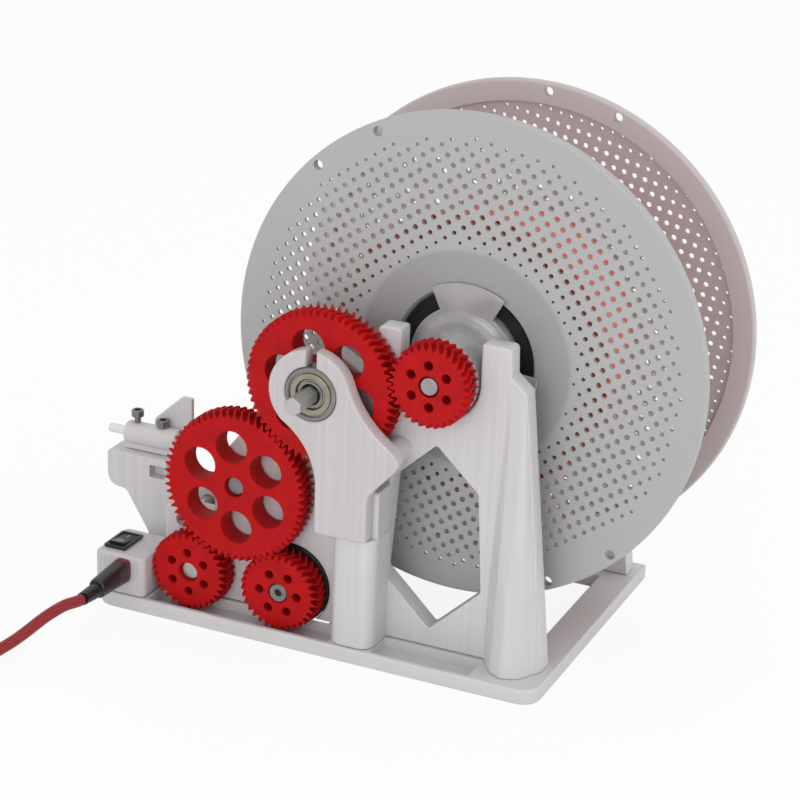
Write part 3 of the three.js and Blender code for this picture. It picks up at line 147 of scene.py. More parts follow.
class Graph:
    """The node tree of one material."""

    def __init__(self, name: str) -> None:
        """Make an empty node material with its shader and its output.

        Args:
            name: the material's name.
        """
        self.material = bpy.data.materials.new(name)
        self.material.use_nodes = True
        self.tree = self.material.node_tree
        self.tree.nodes.clear()
        self.output = self.tree.nodes.new("ShaderNodeOutputMaterial")
        self.shader = self.tree.nodes.new("ShaderNodeBsdfPrincipled")
        self.tree.links.new(self.shader.outputs[0], self.output.inputs[0])

    def raw(self, kind: str, settings: dict, inputs: dict) -> bpy.types.Node:
        """Add a node.

        Args:
            kind: the node's type.
            settings: its properties, set before its sockets.
            inputs: values or links of its sockets, by index or name.

        Returns:
            The node.
        """
        node = self.tree.nodes.new(kind)
        for key, value in settings.items():
            setattr(node, key, value)
        for key, value in inputs.items():
            self.feed(node.inputs[key], value)
        return node

    def feed(self, socket: bpy.types.NodeSocket, value: object) -> None:
        """Link or set one input socket."""
        if isinstance(value, Value):
            self.tree.links.new(value.socket, socket)
        elif isinstance(value, bpy.types.NodeSocket):
            self.tree.links.new(value, socket)
        else:
            socket.default_value = value

    def node(self, kind: str, settings: dict, inputs: dict, output: object = 0) -> Value:
        """Add a node and give one of its outputs as a value.

        Args:
            kind: the node's type.
            settings: its properties.
            inputs: values or links of its sockets, by index or name.
            output: index or name of the output.

        Returns:
            The value of that output.
        """
        return Value(self, self.raw(kind, settings, inputs).outputs[output])

    def place(self) -> tuple[Value, Value, Value]:
        """Give the point's place in metres.

        Returns:
            X, Y and Z of the object coordinates.
        """
        where = self.raw("ShaderNodeTexCoord", {}, {})
        split = self.raw("ShaderNodeSeparateXYZ", {}, {0: where.outputs["Object"]})
        return tuple(Value(self, split.outputs[i]) for i in range(3))

    def vector(self, x: object, y: object, z: object) -> Value:
        """Join three values into a vector."""
        return self.node("ShaderNodeCombineXYZ", {}, {0: x, 1: y, 2: z})

    def noise(self, where: Value, scale: float, detail: float = 3.0, rough: float = 0.55) -> Value:
        """Noise between 0 and 1 at a place.

        Args:
            where: the place as a vector.
            scale: cells per unit of the place.
            detail: octaves.
            rough: how much the finer octaves count.

        Returns:
            The noise.
        """
        inputs = {"Vector": where, "Scale": scale, "Detail": detail, "Roughness": rough}
        return self.node("ShaderNodeTexNoise", {}, inputs, "Fac")

    def streaks(self, x: Value, y: Value, z: Value, scales: Sequence[float], detail: float = 3.0,
                rough: float = 0.55) -> Value:
        """Noise drawn out along one axis: cells per metre differ along X, Y and Z.

        Args:
            x: place along X.
            y: place along Y.
            z: place along Z, or a number where the noise has only two axes.
            scales: cells per metre along each.
            detail: octaves.
            rough: how much the finer octaves count.

        Returns:
            The noise.
        """
        scaled = [part * scale if isinstance(part, Value) else part for part, scale in zip((x, y, z), scales)]
        return self.noise(self.vector(*scaled), 1.0, detail, rough)

    def blend(self, share: object, first: object, second: object) -> Value:
        """Mix two colours.

        Args:
            share: 0 for the first colour, 1 for the second.
            first: RGB tuple or a colour Value.
            second: RGB tuple or a colour Value.

        Returns:
            The mixed colour.
        """
        inputs = {0: share, 6: opaque(first), 7: opaque(second)}
        return self.node("ShaderNodeMix", {"data_type": "RGBA"}, inputs, 2)

    def bump(self, height: Value, depth: float, strength: float) -> Value:
        """Bump whose height of 1 stands for a depth in metres."""
        return self.node("ShaderNodeBump", {}, {"Height": height, "Distance": depth, "Strength": strength})

    def close(self, colour: object, roughness: object, normal: Optional[Value] = None,
              **constants: float) -> bpy.types.Material:
        """Feed the shader.

        Args:
            colour: RGB tuple or a colour Value.
            roughness: number or Value.
            normal: bump output, if any.
            constants: other sockets of the shader by name with _ for a space.

        Returns:
            The finished material.
        """
        self.feed(self.shader.inputs["Base Color"], opaque(colour))
        self.feed(self.shader.inputs["Roughness"], roughness)
        if normal is not None:
            self.feed(self.shader.inputs["Normal"], normal)
        for key, value in constants.items():
            socket = key.replace("_", " ").title().replace("Ior", "IOR")
            self.shader.inputs[socket].default_value = value
        return self.material


def opaque(colour: object) -> object:
    """Give an RGB tuple its alpha of 1, and leave a colour Value as it is."""
    return (*colour, 1.0) if isinstance(colour, tuple) else colour


def linear(red: int, green: int, blue: int) -> Colour:
    """Turn a screen colour into a linear one.

    Args:
        red: 0 to 255.
        green: 0 to 255.
        blue: 0 to 255.

    Returns:
        The three linear values.
    """
    shares = np.array([red, green, blue]) / 255.0
    steep = ((shares + 0.055) / 1.055) ** 2.4
    return tuple(float(v) for v in np.where(shares <= 0.04045, shares / 12.92, steep))


def shade(colour: Colour, factor: float) -> Colour:
    """Scale a colour."""
    return tuple(min(1.0, c * factor) for c in colour)


def waves(place: Value, width: float) -> Value:
    """Sine of a place, one wave to each width in metres."""
    return (place * (2.0 * math.pi / width)).sine()


def radius_from(x: Value, z: Value, centre: Sequence[float]) -> Value:
    """Distance from an axis along Y.

    Args:
        x: place along X.
        z: place along Z.
        centre: the axis' X and Z in millimetres.

    Returns:
        The distance in metres.
    """
    across, up = x - centre[0] * MM, z - centre[1] * MM
    return (across * across + up * up).root()


class Grain(Enum):
    """The direction in which the layers of a print run on its faces."""

    UPRIGHT = "upright"
    LEVEL = "level"
    ALONG = "along"


@dataclass(frozen=True)
class NaturalPrint:
    """Natural translucent filament, printed, with irregular streaks from its layers."""

    name: str
    grain: Grain
    colour: Colour = linear(206, 204, 205)
    pitch: float = 0.45 * MM
    streak: float = 0.07

    def make(self) -> bpy.types.Material:
        """Build the material: noise drawn out along the layers at two widths, over fine waves.

        Returns:
            The material.
        """
        g = Graph(self.name)
        x, y, z = g.place()
        across, along = {
            Grain.UPRIGHT: (x + y * 0.8, z), Grain.LEVEL: (z, x + y), Grain.ALONG: (x + z * 0.7, y),
        }[self.grain]
        lines = g.streaks(across, along, 0.0, (1500.0, 6.0, 1.0), 2.0, 0.6)
        bands = g.streaks(across, along, 3.0, (380.0, 9.0, 1.0), 3.0, 0.6)
        cloud = g.noise(g.vector(x, y, z), 38.0)
        fine = waves(across, self.pitch)
        tone = lines.between(0.3, 0.7) * 0.45 + bands.between(0.30, 0.72) * 0.35
        tone = tone + cloud.between(0.3, 0.7) * 0.2
        dark, pale = shade(self.colour, 1.0 - self.streak * 1.3), shade(self.colour, 1.0 + self.streak)
        colour = g.blend(tone, dark, pale)
        rough = 0.34 + bands * 0.2
        height = lines * 0.5 + bands * 0.3 + fine * 0.14 + cloud * 0.15
        normal = g.bump(height, 0.11 * MM, 0.55)
        return g.close(colour, rough, normal, ior=1.5, coat_weight=0.15, coat_roughness=0.28)


@dataclass(frozen=True)
class RedPrint:
    """Red filament, printed flat: fine layers on the teeth, fine rings on the faces."""

    name: str = "red_print"
    colour: Colour = (0.46, 0.0045, 0.006)

    def make(self) -> bpy.types.Material:
        """Build the material: waves across the layers, with a faint cloud in the red.

        Returns:
            The material.
        """
        g = Graph(self.name)
        x, y, z = g.place()
        cloud = g.noise(g.vector(x, y, z), 160.0)
        layers = waves(y, 0.30 * MM)
        threads = waves(x + z, 0.62 * MM)
        colour = g.blend(cloud.between(0.25, 0.75), shade(self.colour, 0.88), shade(self.colour, 1.08))
        normal = g.bump(layers * 0.5 + threads * 0.14 + cloud * 0.3, 0.045 * MM, 0.6)
        return g.close(colour, 0.46 + cloud * 0.12, normal, ior=1.5, specular_ior_level=0.14)


@dataclass(frozen=True)
class SpoolMould:
    """Grey moulding of the spool: dark where it is thick, lighter where the thin web lets light in."""

    name: str
    thick: Colour = linear(160, 158, 159)
    thin: Colour = linear(176, 176, 176)
    stain: Colour = (0.30, 0.30, 0.30)

    def make(self) -> bpy.types.Material:
        """Build the material: the share of web steps up at the edge of the hub zone.

        Returns:
            The material.
        """
        g = Graph(self.name)
        x, y, z = g.place()
        web = radius_from(x, z, SPOOL_AXIS).between(43.6 * MM, 46.0 * MM)
        where = g.vector(x, y, z)
        fine = g.noise(where, 700.0, 2.0, 0.5)
        wide = g.noise(where, 26.0, 4.0, 0.6)
        tone = g.blend(web, self.thick, self.thin)
        colour = g.blend(wide.between(0.3, 0.7) * 0.05, tone, self.stain)
        rough = 0.38 + (wide - 0.5) * 0.14
        normal = g.bump(fine, 0.012 * MM, 0.6)
        return g.close(colour, rough, normal, ior=1.48, coat_weight=0.1, coat_roughness=0.3)


@dataclass(frozen=True)
class Moulded:
    """Moulded plastic: an even colour with a faint spark-eroded grain."""

    name: str
    colour: Colour
    roughness: float = 0.42
    grain: float = 900.0
    depth: float = 0.02 * MM
    wear: float = 0.05
    coat: float = 0.1

    def make(self) -> bpy.types.Material:
        """Build the material: fine noise as grain, wide noise as wear.

        Returns:
            The material.
        """
        g = Graph(self.name)
        where = g.vector(*g.place())
        fine = g.noise(where, self.grain, 2.0, 0.5)
        wide = g.noise(where, 26.0, 4.0, 0.6)
        dark, pale = shade(self.colour, 1.0 - self.wear), shade(self.colour, 1.0 + self.wear)
        colour = g.blend(wide.between(0.3, 0.7), dark, pale)
        rough = self.roughness + (wide - 0.5) * 0.14
        normal = g.bump(fine, self.depth, 0.6)
        return g.close(colour, rough, normal, ior=1.48, coat_weight=self.coat, coat_roughness=0.3)


@dataclass(frozen=True)
class Frosted:
    """Frosted clear print, seen as soft grey with turned rings."""

    name: str = "clear_print"
    colour: Colour = linear(164, 161, 165)

    def make(self) -> bpy.types.Material:
        """Build the material: rings round the spool's axis and a cloud under the skin.

        Returns:
            The material.
        """
        g = Graph(self.name)
        x, y, z = g.place()
        rings = waves(radius_from(x, z, SPOOL_AXIS), 0.8 * MM)
        cloud = g.noise(g.vector(x, y, z), 75.0, 4.0)
        colour = g.blend(cloud.between(0.3, 0.7), shade(self.colour, 0.86), shade(self.colour, 1.14))
        layers = waves(y, 0.5 * MM)
        normal = g.bump(rings * 0.3 + layers * 0.3 + cloud * 0.5, 0.05 * MM, 0.6)
        return g.close(colour, 0.22 + cloud * 0.12, normal, ior=1.45, coat_weight=0.5, coat_roughness=0.12)


@dataclass(frozen=True)
class Metal:
    """Metal with fine marks from turning or grinding."""

    name: str
    colour: Colour
    roughness: float = 0.26
    turned_about: Optional[tuple[float, float]] = None
    metallic: float = 1.0

    def make(self) -> bpy.types.Material:
        """Build the material: marks are rings about an axis, or noise drawn out along it.

        Returns:
            The material.
        """
        g = Graph(self.name)
        x, y, z = g.place()
        if self.turned_about is None:
            marks = g.streaks(x, y, z, DRAWN_SCALES)
        else:
            marks = g.streaks(radius_from(x, z, self.turned_about), y, 0.0, (5200.0, 3000.0, 1.0))
        stain = g.noise(g.vector(x, y, z), 140.0, 4.0)
        colour = g.blend(stain.between(0.3, 0.75), shade(self.colour, 0.9), shade(self.colour, 1.06))
        rough = self.roughness + marks * 0.14 + (stain - 0.5) * 0.1
        return g.close(colour, rough, g.bump(marks, 0.012 * MM, 0.6), metallic=self.metallic, ior=2.2)


@dataclass(frozen=True)
class HexSteel:
    """Drawn steel of the drive shaft: grey flats, and a paler colour on its end face."""

    name: str = "hex_steel"
    flats: Colour = (0.40, 0.39, 0.395)
    pale_end: Colour = (0.55, 0.52, 0.52)

    def make(self) -> bpy.types.Material:
        """Build the material: the colour steps where the shaft ends, with marks drawn along it."""
        g = Graph(self.name)
        x, y, z = g.place()
        end = 1.0 - y.between(-38.46 * MM, -38.30 * MM)
        marks = g.streaks(x, y, z, DRAWN_SCALES)
        colour = g.blend(end, self.flats, self.pale_end)
        normal = g.bump(marks, 0.015 * MM, 0.6)
        return g.close(colour, 0.30 + marks * 0.16, normal, metallic=0.85, ior=2.2)


@dataclass(frozen=True)
class Rubber:
    """Soft black rubber with a dusty bloom."""

    name: str = "black_rubber"
    clean: Colour = linear(24, 24, 25)
    dusty: Colour = linear(44, 44, 45)

    def make(self) -> bpy.types.Material:
        """Build the material: fine grain, with bloom where the noise is high."""
        g = Graph(self.name)
        where = g.vector(*g.place())
        bloom = g.noise(where, 90.0, 4.0)
        fine = g.noise(where, 1500.0, 2.0)
        colour = g.blend(bloom.between(0.4, 0.8), self.clean, self.dusty)
        return g.close(colour, 0.62 + bloom * 0.2, g.bump(fine, 0.03 * MM, 0.7), ior=1.5)


@dataclass(frozen=True)
class Filament:
    """Glossy orange-red filament on the spool, lighter than its own orange: painted light for the light let
    in through the thin flanges.
    """

    name: str = "orange_filament"
    # Both oranges are lifted above the filament's own: painted light.
    deep: Colour = linear(224, 84, 54)
    bright: Colour = linear(240, 122, 80)

    def make(self) -> bpy.types.Material:
        """Build the material: a slow change of tone along the turns."""
        g = Graph(self.name)
        x, y, z = g.place()
        tone = g.streaks(x, y, z, (60.0, 420.0, 60.0))
        colour = g.blend(tone.between(0.3, 0.7), self.deep, self.bright)
        normal = g.bump(tone, 0.03 * MM, 0.4)
        return g.close(colour, 0.26 + tone * 0.14, normal, ior=1.5, coat_weight=0.3, coat_roughness=0.12)


@dataclass(frozen=True)
class Braid:
    """Woven sleeve: two sets of strands that cross, on the cord's own UV map.

    The map runs once round the cord in U, and along it in V by the cord's circumferences. The pitch is
    how many rows of strands lie along one circumference.
    """

    name: str = "red_braid"
    colour: Colour = linear(150, 26, 36)
    strands: int = 12
    pitch: float = 5.5
    layer: str = "sleeve"

    def make(self) -> bpy.types.Material:
        """Build the material: height is the higher of two crossed rows of round strands.

        Returns:
            The material.
        """
        g = Graph(self.name)
        where = g.raw("ShaderNodeUVMap", {"uv_map": self.layer}, {})
        split = g.raw("ShaderNodeSeparateXYZ", {}, {0: where.outputs[0]})
        u = Value(g, split.outputs[0])
        v = Value(g, split.outputs[1])
        turns = u * (math.pi * self.strands)
        rise = v * (math.pi * self.strands / self.pitch)
        left = (turns + rise).sine().size()
        right = (turns - rise).sine().size()
        over = ((turns + rise) * 0.5).sine() * ((turns - rise) * 0.5).sine()
        pick = over.between(-0.15, 0.15)
        height = left * pick + right * (1.0 - pick)
        fibre = g.noise(g.vector(turns * 1.2, rise * 1.2, 0.0), 2.2, 3.0)
        # The colour darkens where the strands sink: painted shade between the strands and down their sides,
        # with the fibre noise as the thread's own tone.
        tone = height * 0.75 + fibre * 0.25
        colour = g.blend(tone, shade(self.colour, 0.35), shade(self.colour, 1.25))
        normal = g.bump(height + fibre * 0.25, 0.22 * MM, 0.9)
        return g.close(colour, 0.55 + fibre * 0.2, normal, sheen_weight=0.25, sheen_roughness=0.4)


class Finishes:
    """All finishes of the winder by name, made once each, and the slots of the record that they fill."""

    SLOTS = {
        "white_upright": "white_print", "white_level": "white_print", "white_along": "white_print",
        "bracket_print": "white_print", "box_print": "white_print", "mark_white": "white_print",
        "grey_mould_rear": "grey_mould", "tube_clear": "clear_print", "red_collar": "red_braid",
        "bearing_steel": "steel", "shield_steel": "steel", "hex_steel": "steel", "shaft_steel": "steel",
        "axle_steel": "steel", "screw_steel": "dark_steel",
    }

    def __init__(self) -> None:
        """Build every material."""
        upright, level, along = Grain.UPRIGHT, Grain.LEVEL, Grain.ALONG
        bearing = tuple(UPPER)
        recipes = [
            NaturalPrint("white_upright", upright),
            NaturalPrint("white_level", level, streak=0.04),
            NaturalPrint("white_along", along, streak=0.04),
            # The bracket's white is a darker copy of the walls' print: painted shade on the bracket.
            NaturalPrint("bracket_print", upright, linear(198, 194, 195)),
            NaturalPrint("box_print", upright, linear(196, 193, 195), streak=0.05),
            RedPrint(),
            SpoolMould("grey_mould"),
            # The rear flange's grey is a lighter, pinker copy of the front's: painted light on the rear
            # flange.
            SpoolMould("grey_mould_rear", linear(186, 178, 178), linear(194, 185, 185)),
            Frosted(),
            Moulded("tube_clear", linear(226, 228, 228), 0.2, 500.0, 0.01 * MM, wear=0.03, coat=0.5),
            Filament(),
            Metal("steel", (0.56, 0.56, 0.54)),
            Metal("bearing_steel", (0.31, 0.30, 0.285), 0.2, bearing),
            Metal("shield_steel", (0.33, 0.33, 0.24), 0.36, bearing, metallic=0.8),
            HexSteel(),
            Metal("shaft_steel", (0.36, 0.31, 0.325), 0.34, metallic=0.7),
            Metal("axle_steel", (0.26, 0.25, 0.25), 0.34, metallic=0.85),
            Metal("screw_steel", (0.27, 0.25, 0.25)),
            Metal("dark_steel", (0.13, 0.12, 0.12), 0.3),
            Moulded("black_plastic", linear(30, 30, 32), 0.34, 800.0, 0.03 * MM, wear=0.12, coat=0.12),
            Rubber(),
            Braid(),
            Moulded("red_collar", linear(98, 14, 22), 0.4),
            Metal("brass", (0.60, 0.42, 0.14)),
            Moulded("mark_white", linear(190, 190, 190), 0.5),
        ]
        self._made = {recipe.name: recipe.make() for recipe in recipes}

    def __getitem__(self, name: str) -> bpy.types.Material:
        """Give a material by name."""
        return self._made[name]

    def slot(self, name: str) -> str:
        """Name of the record's material slot that a finish fills."""
        return self.SLOTS.get(name, name)


# ---------------------------------------------------------------- shapes


@dataclass
class Skin:
    """Points and faces that grow piece by piece and end as one mesh, in millimetres."""

    points: list[Grid] = field(default_factory=list)
    faces: list[list[int]] = field(default_factory=list)
    rounded: list[bool] = field(default_factory=list)
    count: int = 0

    def add(self, points: Grid, faces: Iterable[Sequence[int]], smooth: bool = True) -> None:
        """Add points and faces that count from the first of them.

        Args:
            points: array of N by 3.
            faces: rows of indices.
            smooth: whether the faces are shaded smooth.
        """
        self.points.append(np.asarray(points, float))
        rows = [[int(i) + self.count for i in row] for row in faces]
        self.faces.extend(rows)
        self.rounded.extend([smooth] * len(rows))
        self.count += len(points)

    def add_grid(self, grid: Grid, around: bool = False, ends: bool = False) -> None:
        """Add a surface over a grid of rows by columns.

        Args:
            grid: rows by columns by 3. A face turns from one row to the next, then along the row.
            around: whether the last column meets the first.
            ends: whether the first and last row are closed by a flat face each.
        """
        rows, columns = grid.shape[:2]
        last = columns if around else columns - 1
        r, c = np.meshgrid(np.arange(rows - 1), np.arange(last), indexing="ij")
        here, below, after = r * columns, (r + 1) * columns, (c + 1) % columns
        quads = np.stack([here + c, below + c, below + after, here + after], -1)
        self.add(grid.reshape(-1, 3), quads.reshape(-1, 4))
        if ends:
            order = np.arange(columns)
            self.add(grid[0], [order], False)
            self.add(grid[-1], [order[::-1]], False)

    def turn(self, degrees: float, pivot: Grid, to: Grid) -> None:
        """Turn all points about an axis along X through a pivot, and carry the pivot to a place.

        A point p becomes R (p - pivot) + to, with R the turn that lifts +Y towards +Z.

        Args:
            degrees: the angle.
            pivot: a point on the axis.
            to: where the pivot ends.
        """
        c, s = math.cos(math.radians(degrees)), math.sin(math.radians(degrees))
        turn = np.array([[1, 0, 0], [0, c, -s], [0, s, c]])
        self.points = [(points - pivot) @ turn.T + to for points in self.points]

    def mesh(self, name: str, crease: float) -> bpy.types.Mesh:
        """Make the mesh, in metres, with edges kept sharp past an angle in degrees.

        Args:
            name: the mesh's name.
            crease: the angle.

        Returns:
            The mesh.
        """
        mesh = bpy.data.meshes.new(name)
        points = np.concatenate(self.points) * MM
        mesh.from_pydata(points, [], self.faces)
        mesh.polygons.foreach_set("use_smooth", self.rounded)
        mesh.update()
        mesh.set_sharp_from_angle(angle=math.radians(crease))
        return mesh


def circle(x: float, z: float, radius: float, count: int = 48, start: float = 0.0,
           sweep: float = 360.0) -> Grid:
    """Points on an arc, counter-clockwise; a full circle leaves out its last point.

    Args:
        x: first coordinate of the middle.
        z: second coordinate of the middle.
        radius: the arc's radius.
        count: number of points.
        start: direction of the first point, in degrees.
        sweep: angle of the arc, in degrees.

    Returns:
        The points.
    """
    full = abs(sweep) >= 360.0
    angle = np.radians(start + np.linspace(0.0, sweep, count, endpoint=not full))
    return np.stack([x + radius * np.cos(angle), z + radius * np.sin(angle)], -1)


def curve(first: Sequence[float], middle: Sequence[float], last: Sequence[float], count: int) -> Grid:
    """Points on the parabola that starts towards the middle point and ends away from it."""
    t = np.linspace(0.0, 1.0, count)[:, None]
    a, b, c = (np.asarray(p, float) for p in (first, middle, last))
    return (1 - t) ** 2 * a + 2 * t * (1 - t) * b + t ** 2 * c


def loop(*parts: Sequence) -> Grid:
    """Join points and runs of points into one closed loop without repeats."""
    rows = np.concatenate([np.atleast_2d(np.asarray(part, float)) for part in parts])
    keep = np.hypot(*(rows - np.roll(rows, 1, 0)).T) > SAME_POINT
    return rows[keep]


def box(left: float, right: float, low: float, high: float) -> list[tuple[float, float]]:
    """Corners of a rectangle, counter-clockwise from its lower left."""
    return [(left, low), (right, low), (right, high), (left, high)]


def box_about(x: float, y: float, half_width: float, half_height: float) -> list[tuple[float, float]]:
    """Corners of a rectangle round its middle."""
    return box(x - half_width, x + half_width, y - half_height, y + half_height)


def rounded(corners: Corners, radius: float | Sequence[float], steps: int = 6) -> Grid:
    """Round the corners of a polygon.

    Each corner becomes a parabola between points a radius away along its two sides.

    Args:
        corners: the polygon, counter-clockwise.
        radius: one radius, or one for each corner.
        steps: points for each corner.

    Returns:
        The loop.
    """
    points = np.asarray(corners, float)
    radii = np.broadcast_to(np.asarray(radius, float), (len(points),))
    runs = []
    for i, (point, reach) in enumerate(zip(points, radii)):
        before, after = points[i - 1], points[(i + 1) % len(points)]
        if reach <= 0:
            runs.append(point[None])
            continue
        a = point + (before - point) / np.hypot(*(before - point)) * reach
        b = point + (after - point) / np.hypot(*(after - point)) * reach
        runs.append(curve(a, point, b, steps))
    return loop(*runs)


def inset(ring: Grid, distance: float) -> Grid:
    """Move a loop to its left by a distance, each point along the mitre of its two sides.

    With the left normals m and n of the two sides, a point moves by distance (m + n) / (1 + m.n),
    and m.n is kept above -1/2 so that a sharp corner stays near its place.

    Args:
        ring: the loop's points.
        distance: how far its sides move.

    Returns:
        The moved loop.
    """
    before = ring - np.roll(ring, 1, 0)
    after = np.roll(ring, -1, 0) - ring
    before /= np.maximum(np.hypot(*before.T), TINY)[:, None]
    after /= np.maximum(np.hypot(*after.T), TINY)[:, None]
    left_b = np.stack([-before[:, 1], before[:, 0]], -1)
    left_a = np.stack([-after[:, 1], after[:, 0]], -1)
    along = np.clip((left_b * left_a).sum(1), -0.5, 1.0)
    return ring + distance * (left_b + left_a) / (1.0 + along)[:, None]


class Facing(Enum):
    """How a plate's flat outline lies in space: the plane it is drawn in."""

    GEARS = "drawn in X and Z, thick along Y"
    UP = "drawn in X and Y, thick along Z, first level on top"
    SIDE = "drawn in Y and Z, thick along X, first level on the right"


def lay(flat: Grid, level: Grid | float, facing: Facing) -> Grid:
    """Put flat points at a level into space.

    Args:
        flat: points, with 2 in the last axis.
        level: place along the plate's thickness.
        facing: the plane of the outline.

    Returns:
        Points with 3 in the last axis.
    """
    deep = np.broadcast_to(np.asarray(level, float), flat.shape[:-1])
    if facing is Facing.GEARS:
        return np.stack([flat[..., 0], deep, flat[..., 1]], -1)
    if facing is Facing.UP:
        return np.stack([flat[..., 0], flat[..., 1], -deep], -1)
    return np.stack([-deep, flat[..., 0], flat[..., 1]], -1)


@lru_cache(maxsize=8)
def filled(rings: tuple[bytes, ...]) -> tuple[Grid, list[list[int]]]:
    """Fill the face between an outer ring and its holes with constrained triangles.

    Args:
        rings: the rings' points as bytes, so that like faces are worked out once.

    Returns:
        The points, and the triangles as rows of indices.
    """
    loops = [np.frombuffer(ring).reshape(-1, 2) for ring in rings]
    ends = np.cumsum([0] + [len(ring) for ring in loops])
    edges = [list(range(a, b)) for a, b in zip(ends[:-1], ends[1:])]
    inside, inside_with_holes = 1, 2
    mode = inside_with_holes if len(loops) > 1 else inside
    flat = [Vector(p) for p in np.concatenate(loops)]
    points, _, rows, _, _, _ = delaunay_2d_cdt(flat, [], edges, mode, CLOSE_POINTS)
    if len(points) != len(flat):
        log.warning("a face of %d points came back with %d", len(flat), len(points))
    return np.array(points), rows


def cap(skin: Skin, rings: list[Grid], level: float, facing: Facing, flip: bool) -> None:
    """Fill a flat face between an outer ring and its holes.

    Args:
        skin: the skin that gets the face.
        rings: the outer ring, then its holes.
        level: place of the face along the thickness.
        facing: the plane of the rings.
        flip: whether the triangles are turned over.
    """
    points, rows = filled(tuple(ring.tobytes() for ring in rings))
    if flip:
        rows = [row[::-1] for row in rows]
    skin.add(lay(points, level, facing), rows, False)


def wall(skin: Skin, path: Grid, insets: Grid, levels: Grid, facing: Facing) -> tuple[Grid, Grid]:
    """Carry a loop from level to level, moved in at each.

    Args:
        skin: the skin that gets the wall.
        path: the loop, with its solid on the left.
        insets: how far the loop is moved in at each level.
        levels: places along the thickness.
        facing: the plane of the loop.

    Returns:
        The first and the last ring.
    """
    rings = np.stack([inset(path, distance) for distance in insets])
    skin.add_grid(lay(rings, levels[:, None], facing), around=True)
    return rings[0], rings[-1]


@dataclass
class Plate:
    """A flat piece with rounded edges, holes, stepped bores and blind pockets.

    Levels grow away from the first face. With Facing.UP the first face is the top, and with
    Facing.SIDE it is the right side, so levels there are minus Z or minus X.

    Attributes:
        outline: the outer loop.
        first: level of the first face.
        last: level of the other face.
        edge: radius of the outer edges.
        facing: the plane of the outline.
        steps: faces in the quarter circle of an edge.
        holes: loops of holes, each with the radius of its edges.
        bores: middles of round bores, each with rows of radius and level.
        pockets: loops of pockets in the first face, each with its depth.
    """

    outline: Grid
    first: float
    last: float
    edge: float = 0.5
    facing: Facing = Facing.GEARS
    steps: int = 3
    holes: list[tuple[Grid, float]] = field(default_factory=list)
    bores: list[tuple[Grid, Grid]] = field(default_factory=list)
    pockets: list[tuple[Grid, float]] = field(default_factory=list)

    def _profile(self, edge: float) -> tuple[Grid, Grid]:
        """Inset and level of the rings from face to face: a quarter circle at each edge.

        Args:
            edge: radius of the edges.

        Returns:
            Insets and levels, one of each for a ring.
        """
        if edge <= 0:
            return np.zeros(2), np.array([self.first, self.last])
        turn = np.linspace(0.0, math.pi / 2, self.steps + 1)
        step_in = edge * (1 - np.sin(turn))
        step_on = edge * (1 - np.cos(turn))
        return (np.concatenate([step_in, step_in[::-1]]),
                np.concatenate([self.first + step_on, self.last - step_on[::-1]]))

    def drill(self, centre: Sequence[float], *profile: tuple[float, float]) -> None:
        """Add a round bore from rows of radius and level, or of a radius alone from face to face."""
        self.bores.append((np.asarray(centre), np.array(profile)))

    def build(self, skin: Optional[Skin] = None) -> Skin:
        """Make the plate's skin.

        Args:
            skin: a skin to add to, or none for a new one.

        Returns:
            The skin.
        """
        skin = skin or Skin()
        front, back = [], []
        loops = [(self.outline, self.edge)] + [(ring[::-1], edge) for ring, edge in self.holes]
        for path, edge in loops:
            first, last = wall(skin, path, *self._profile(edge), self.facing)
            front.append(first)
            back.append(last)
        for centre, profile in self.bores:
            rings = centre + profile[:, 0, None, None] * circle(0.0, 0.0, 1.0)[::-1]
            skin.add_grid(lay(rings, profile[:, 1, None], self.facing), around=True)
            front.append(rings[0])
            back.append(rings[-1])
        for ring, depth in self.pockets:
            path, floor = ring[::-1], self.first + depth
            levels = np.array([self.first, floor])
            skin.add_grid(lay(np.stack([path, path]), levels[:, None], self.facing), around=True)
            cap(skin, [ring], floor, self.facing, False)
            front.append(path)
        cap(skin, front, self.first, self.facing, False)
        cap(skin, back, self.last, self.facing, True)
        return skin


def lathe(profile: Corners, x: float, z: float, sides: int = 64, axis: str = "Y",
          skin: Optional[Skin] = None) -> Skin:
    """Turn a closed profile about an axis: radius and place along it, around a full circle.

    Args:
        profile: closed run of [radius, place], in either order.
        x: first coordinate of the axis in the plane across it.
        z: second coordinate of the axis.
        sides: points round the axis.
        axis: Y, X or Z. The plane is X and Z, Y and Z, or X and Y.
        skin: a skin to add to, or none for a new one.

    Returns:
        The skin.
    """
    skin = skin or Skin()
    rows = np.asarray([*profile, profile[0]], float)
    area = np.sum(rows[:-1, 0] * rows[1:, 1] - rows[1:, 0] * rows[:-1, 1])
    if area < 0:
        rows = rows[::-1]
    angle = np.linspace(0.0, 2 * math.pi, sides, endpoint=False)
    radius = rows[:, 0, None]
    place = np.broadcast_to(rows[:, 1, None], (len(rows), sides))
    u = x + radius * np.cos(angle)
    v = z + radius * np.sin(angle)
    if axis == "Y":
        grid = np.stack([u, place, v], -1)
    elif axis == "X":
        grid = np.stack([place, u, v], -1)[:, ::-1]
    else:
        grid = np.stack([u, v, place], -1)[:, ::-1]
    order = np.arange(sides)
    after, tip = (order + 1) % sides, np.full(sides, sides)
    off_axis = rows[:, 0] > 0
    for pair, (first, second) in zip(zip(grid[:-1], grid[1:]), zip(off_axis[:-1], off_axis[1:])):
        if first and second:
            skin.add_grid(np.stack(pair), around=True)
        elif first:
            skin.add(np.vstack([pair[0], pair[1][0]]), np.stack([order, tip, after], -1), False)
        elif second:
            skin.add(np.vstack([pair[1], pair[0][0]]), np.stack([order, after, tip], -1), False)
    return skin


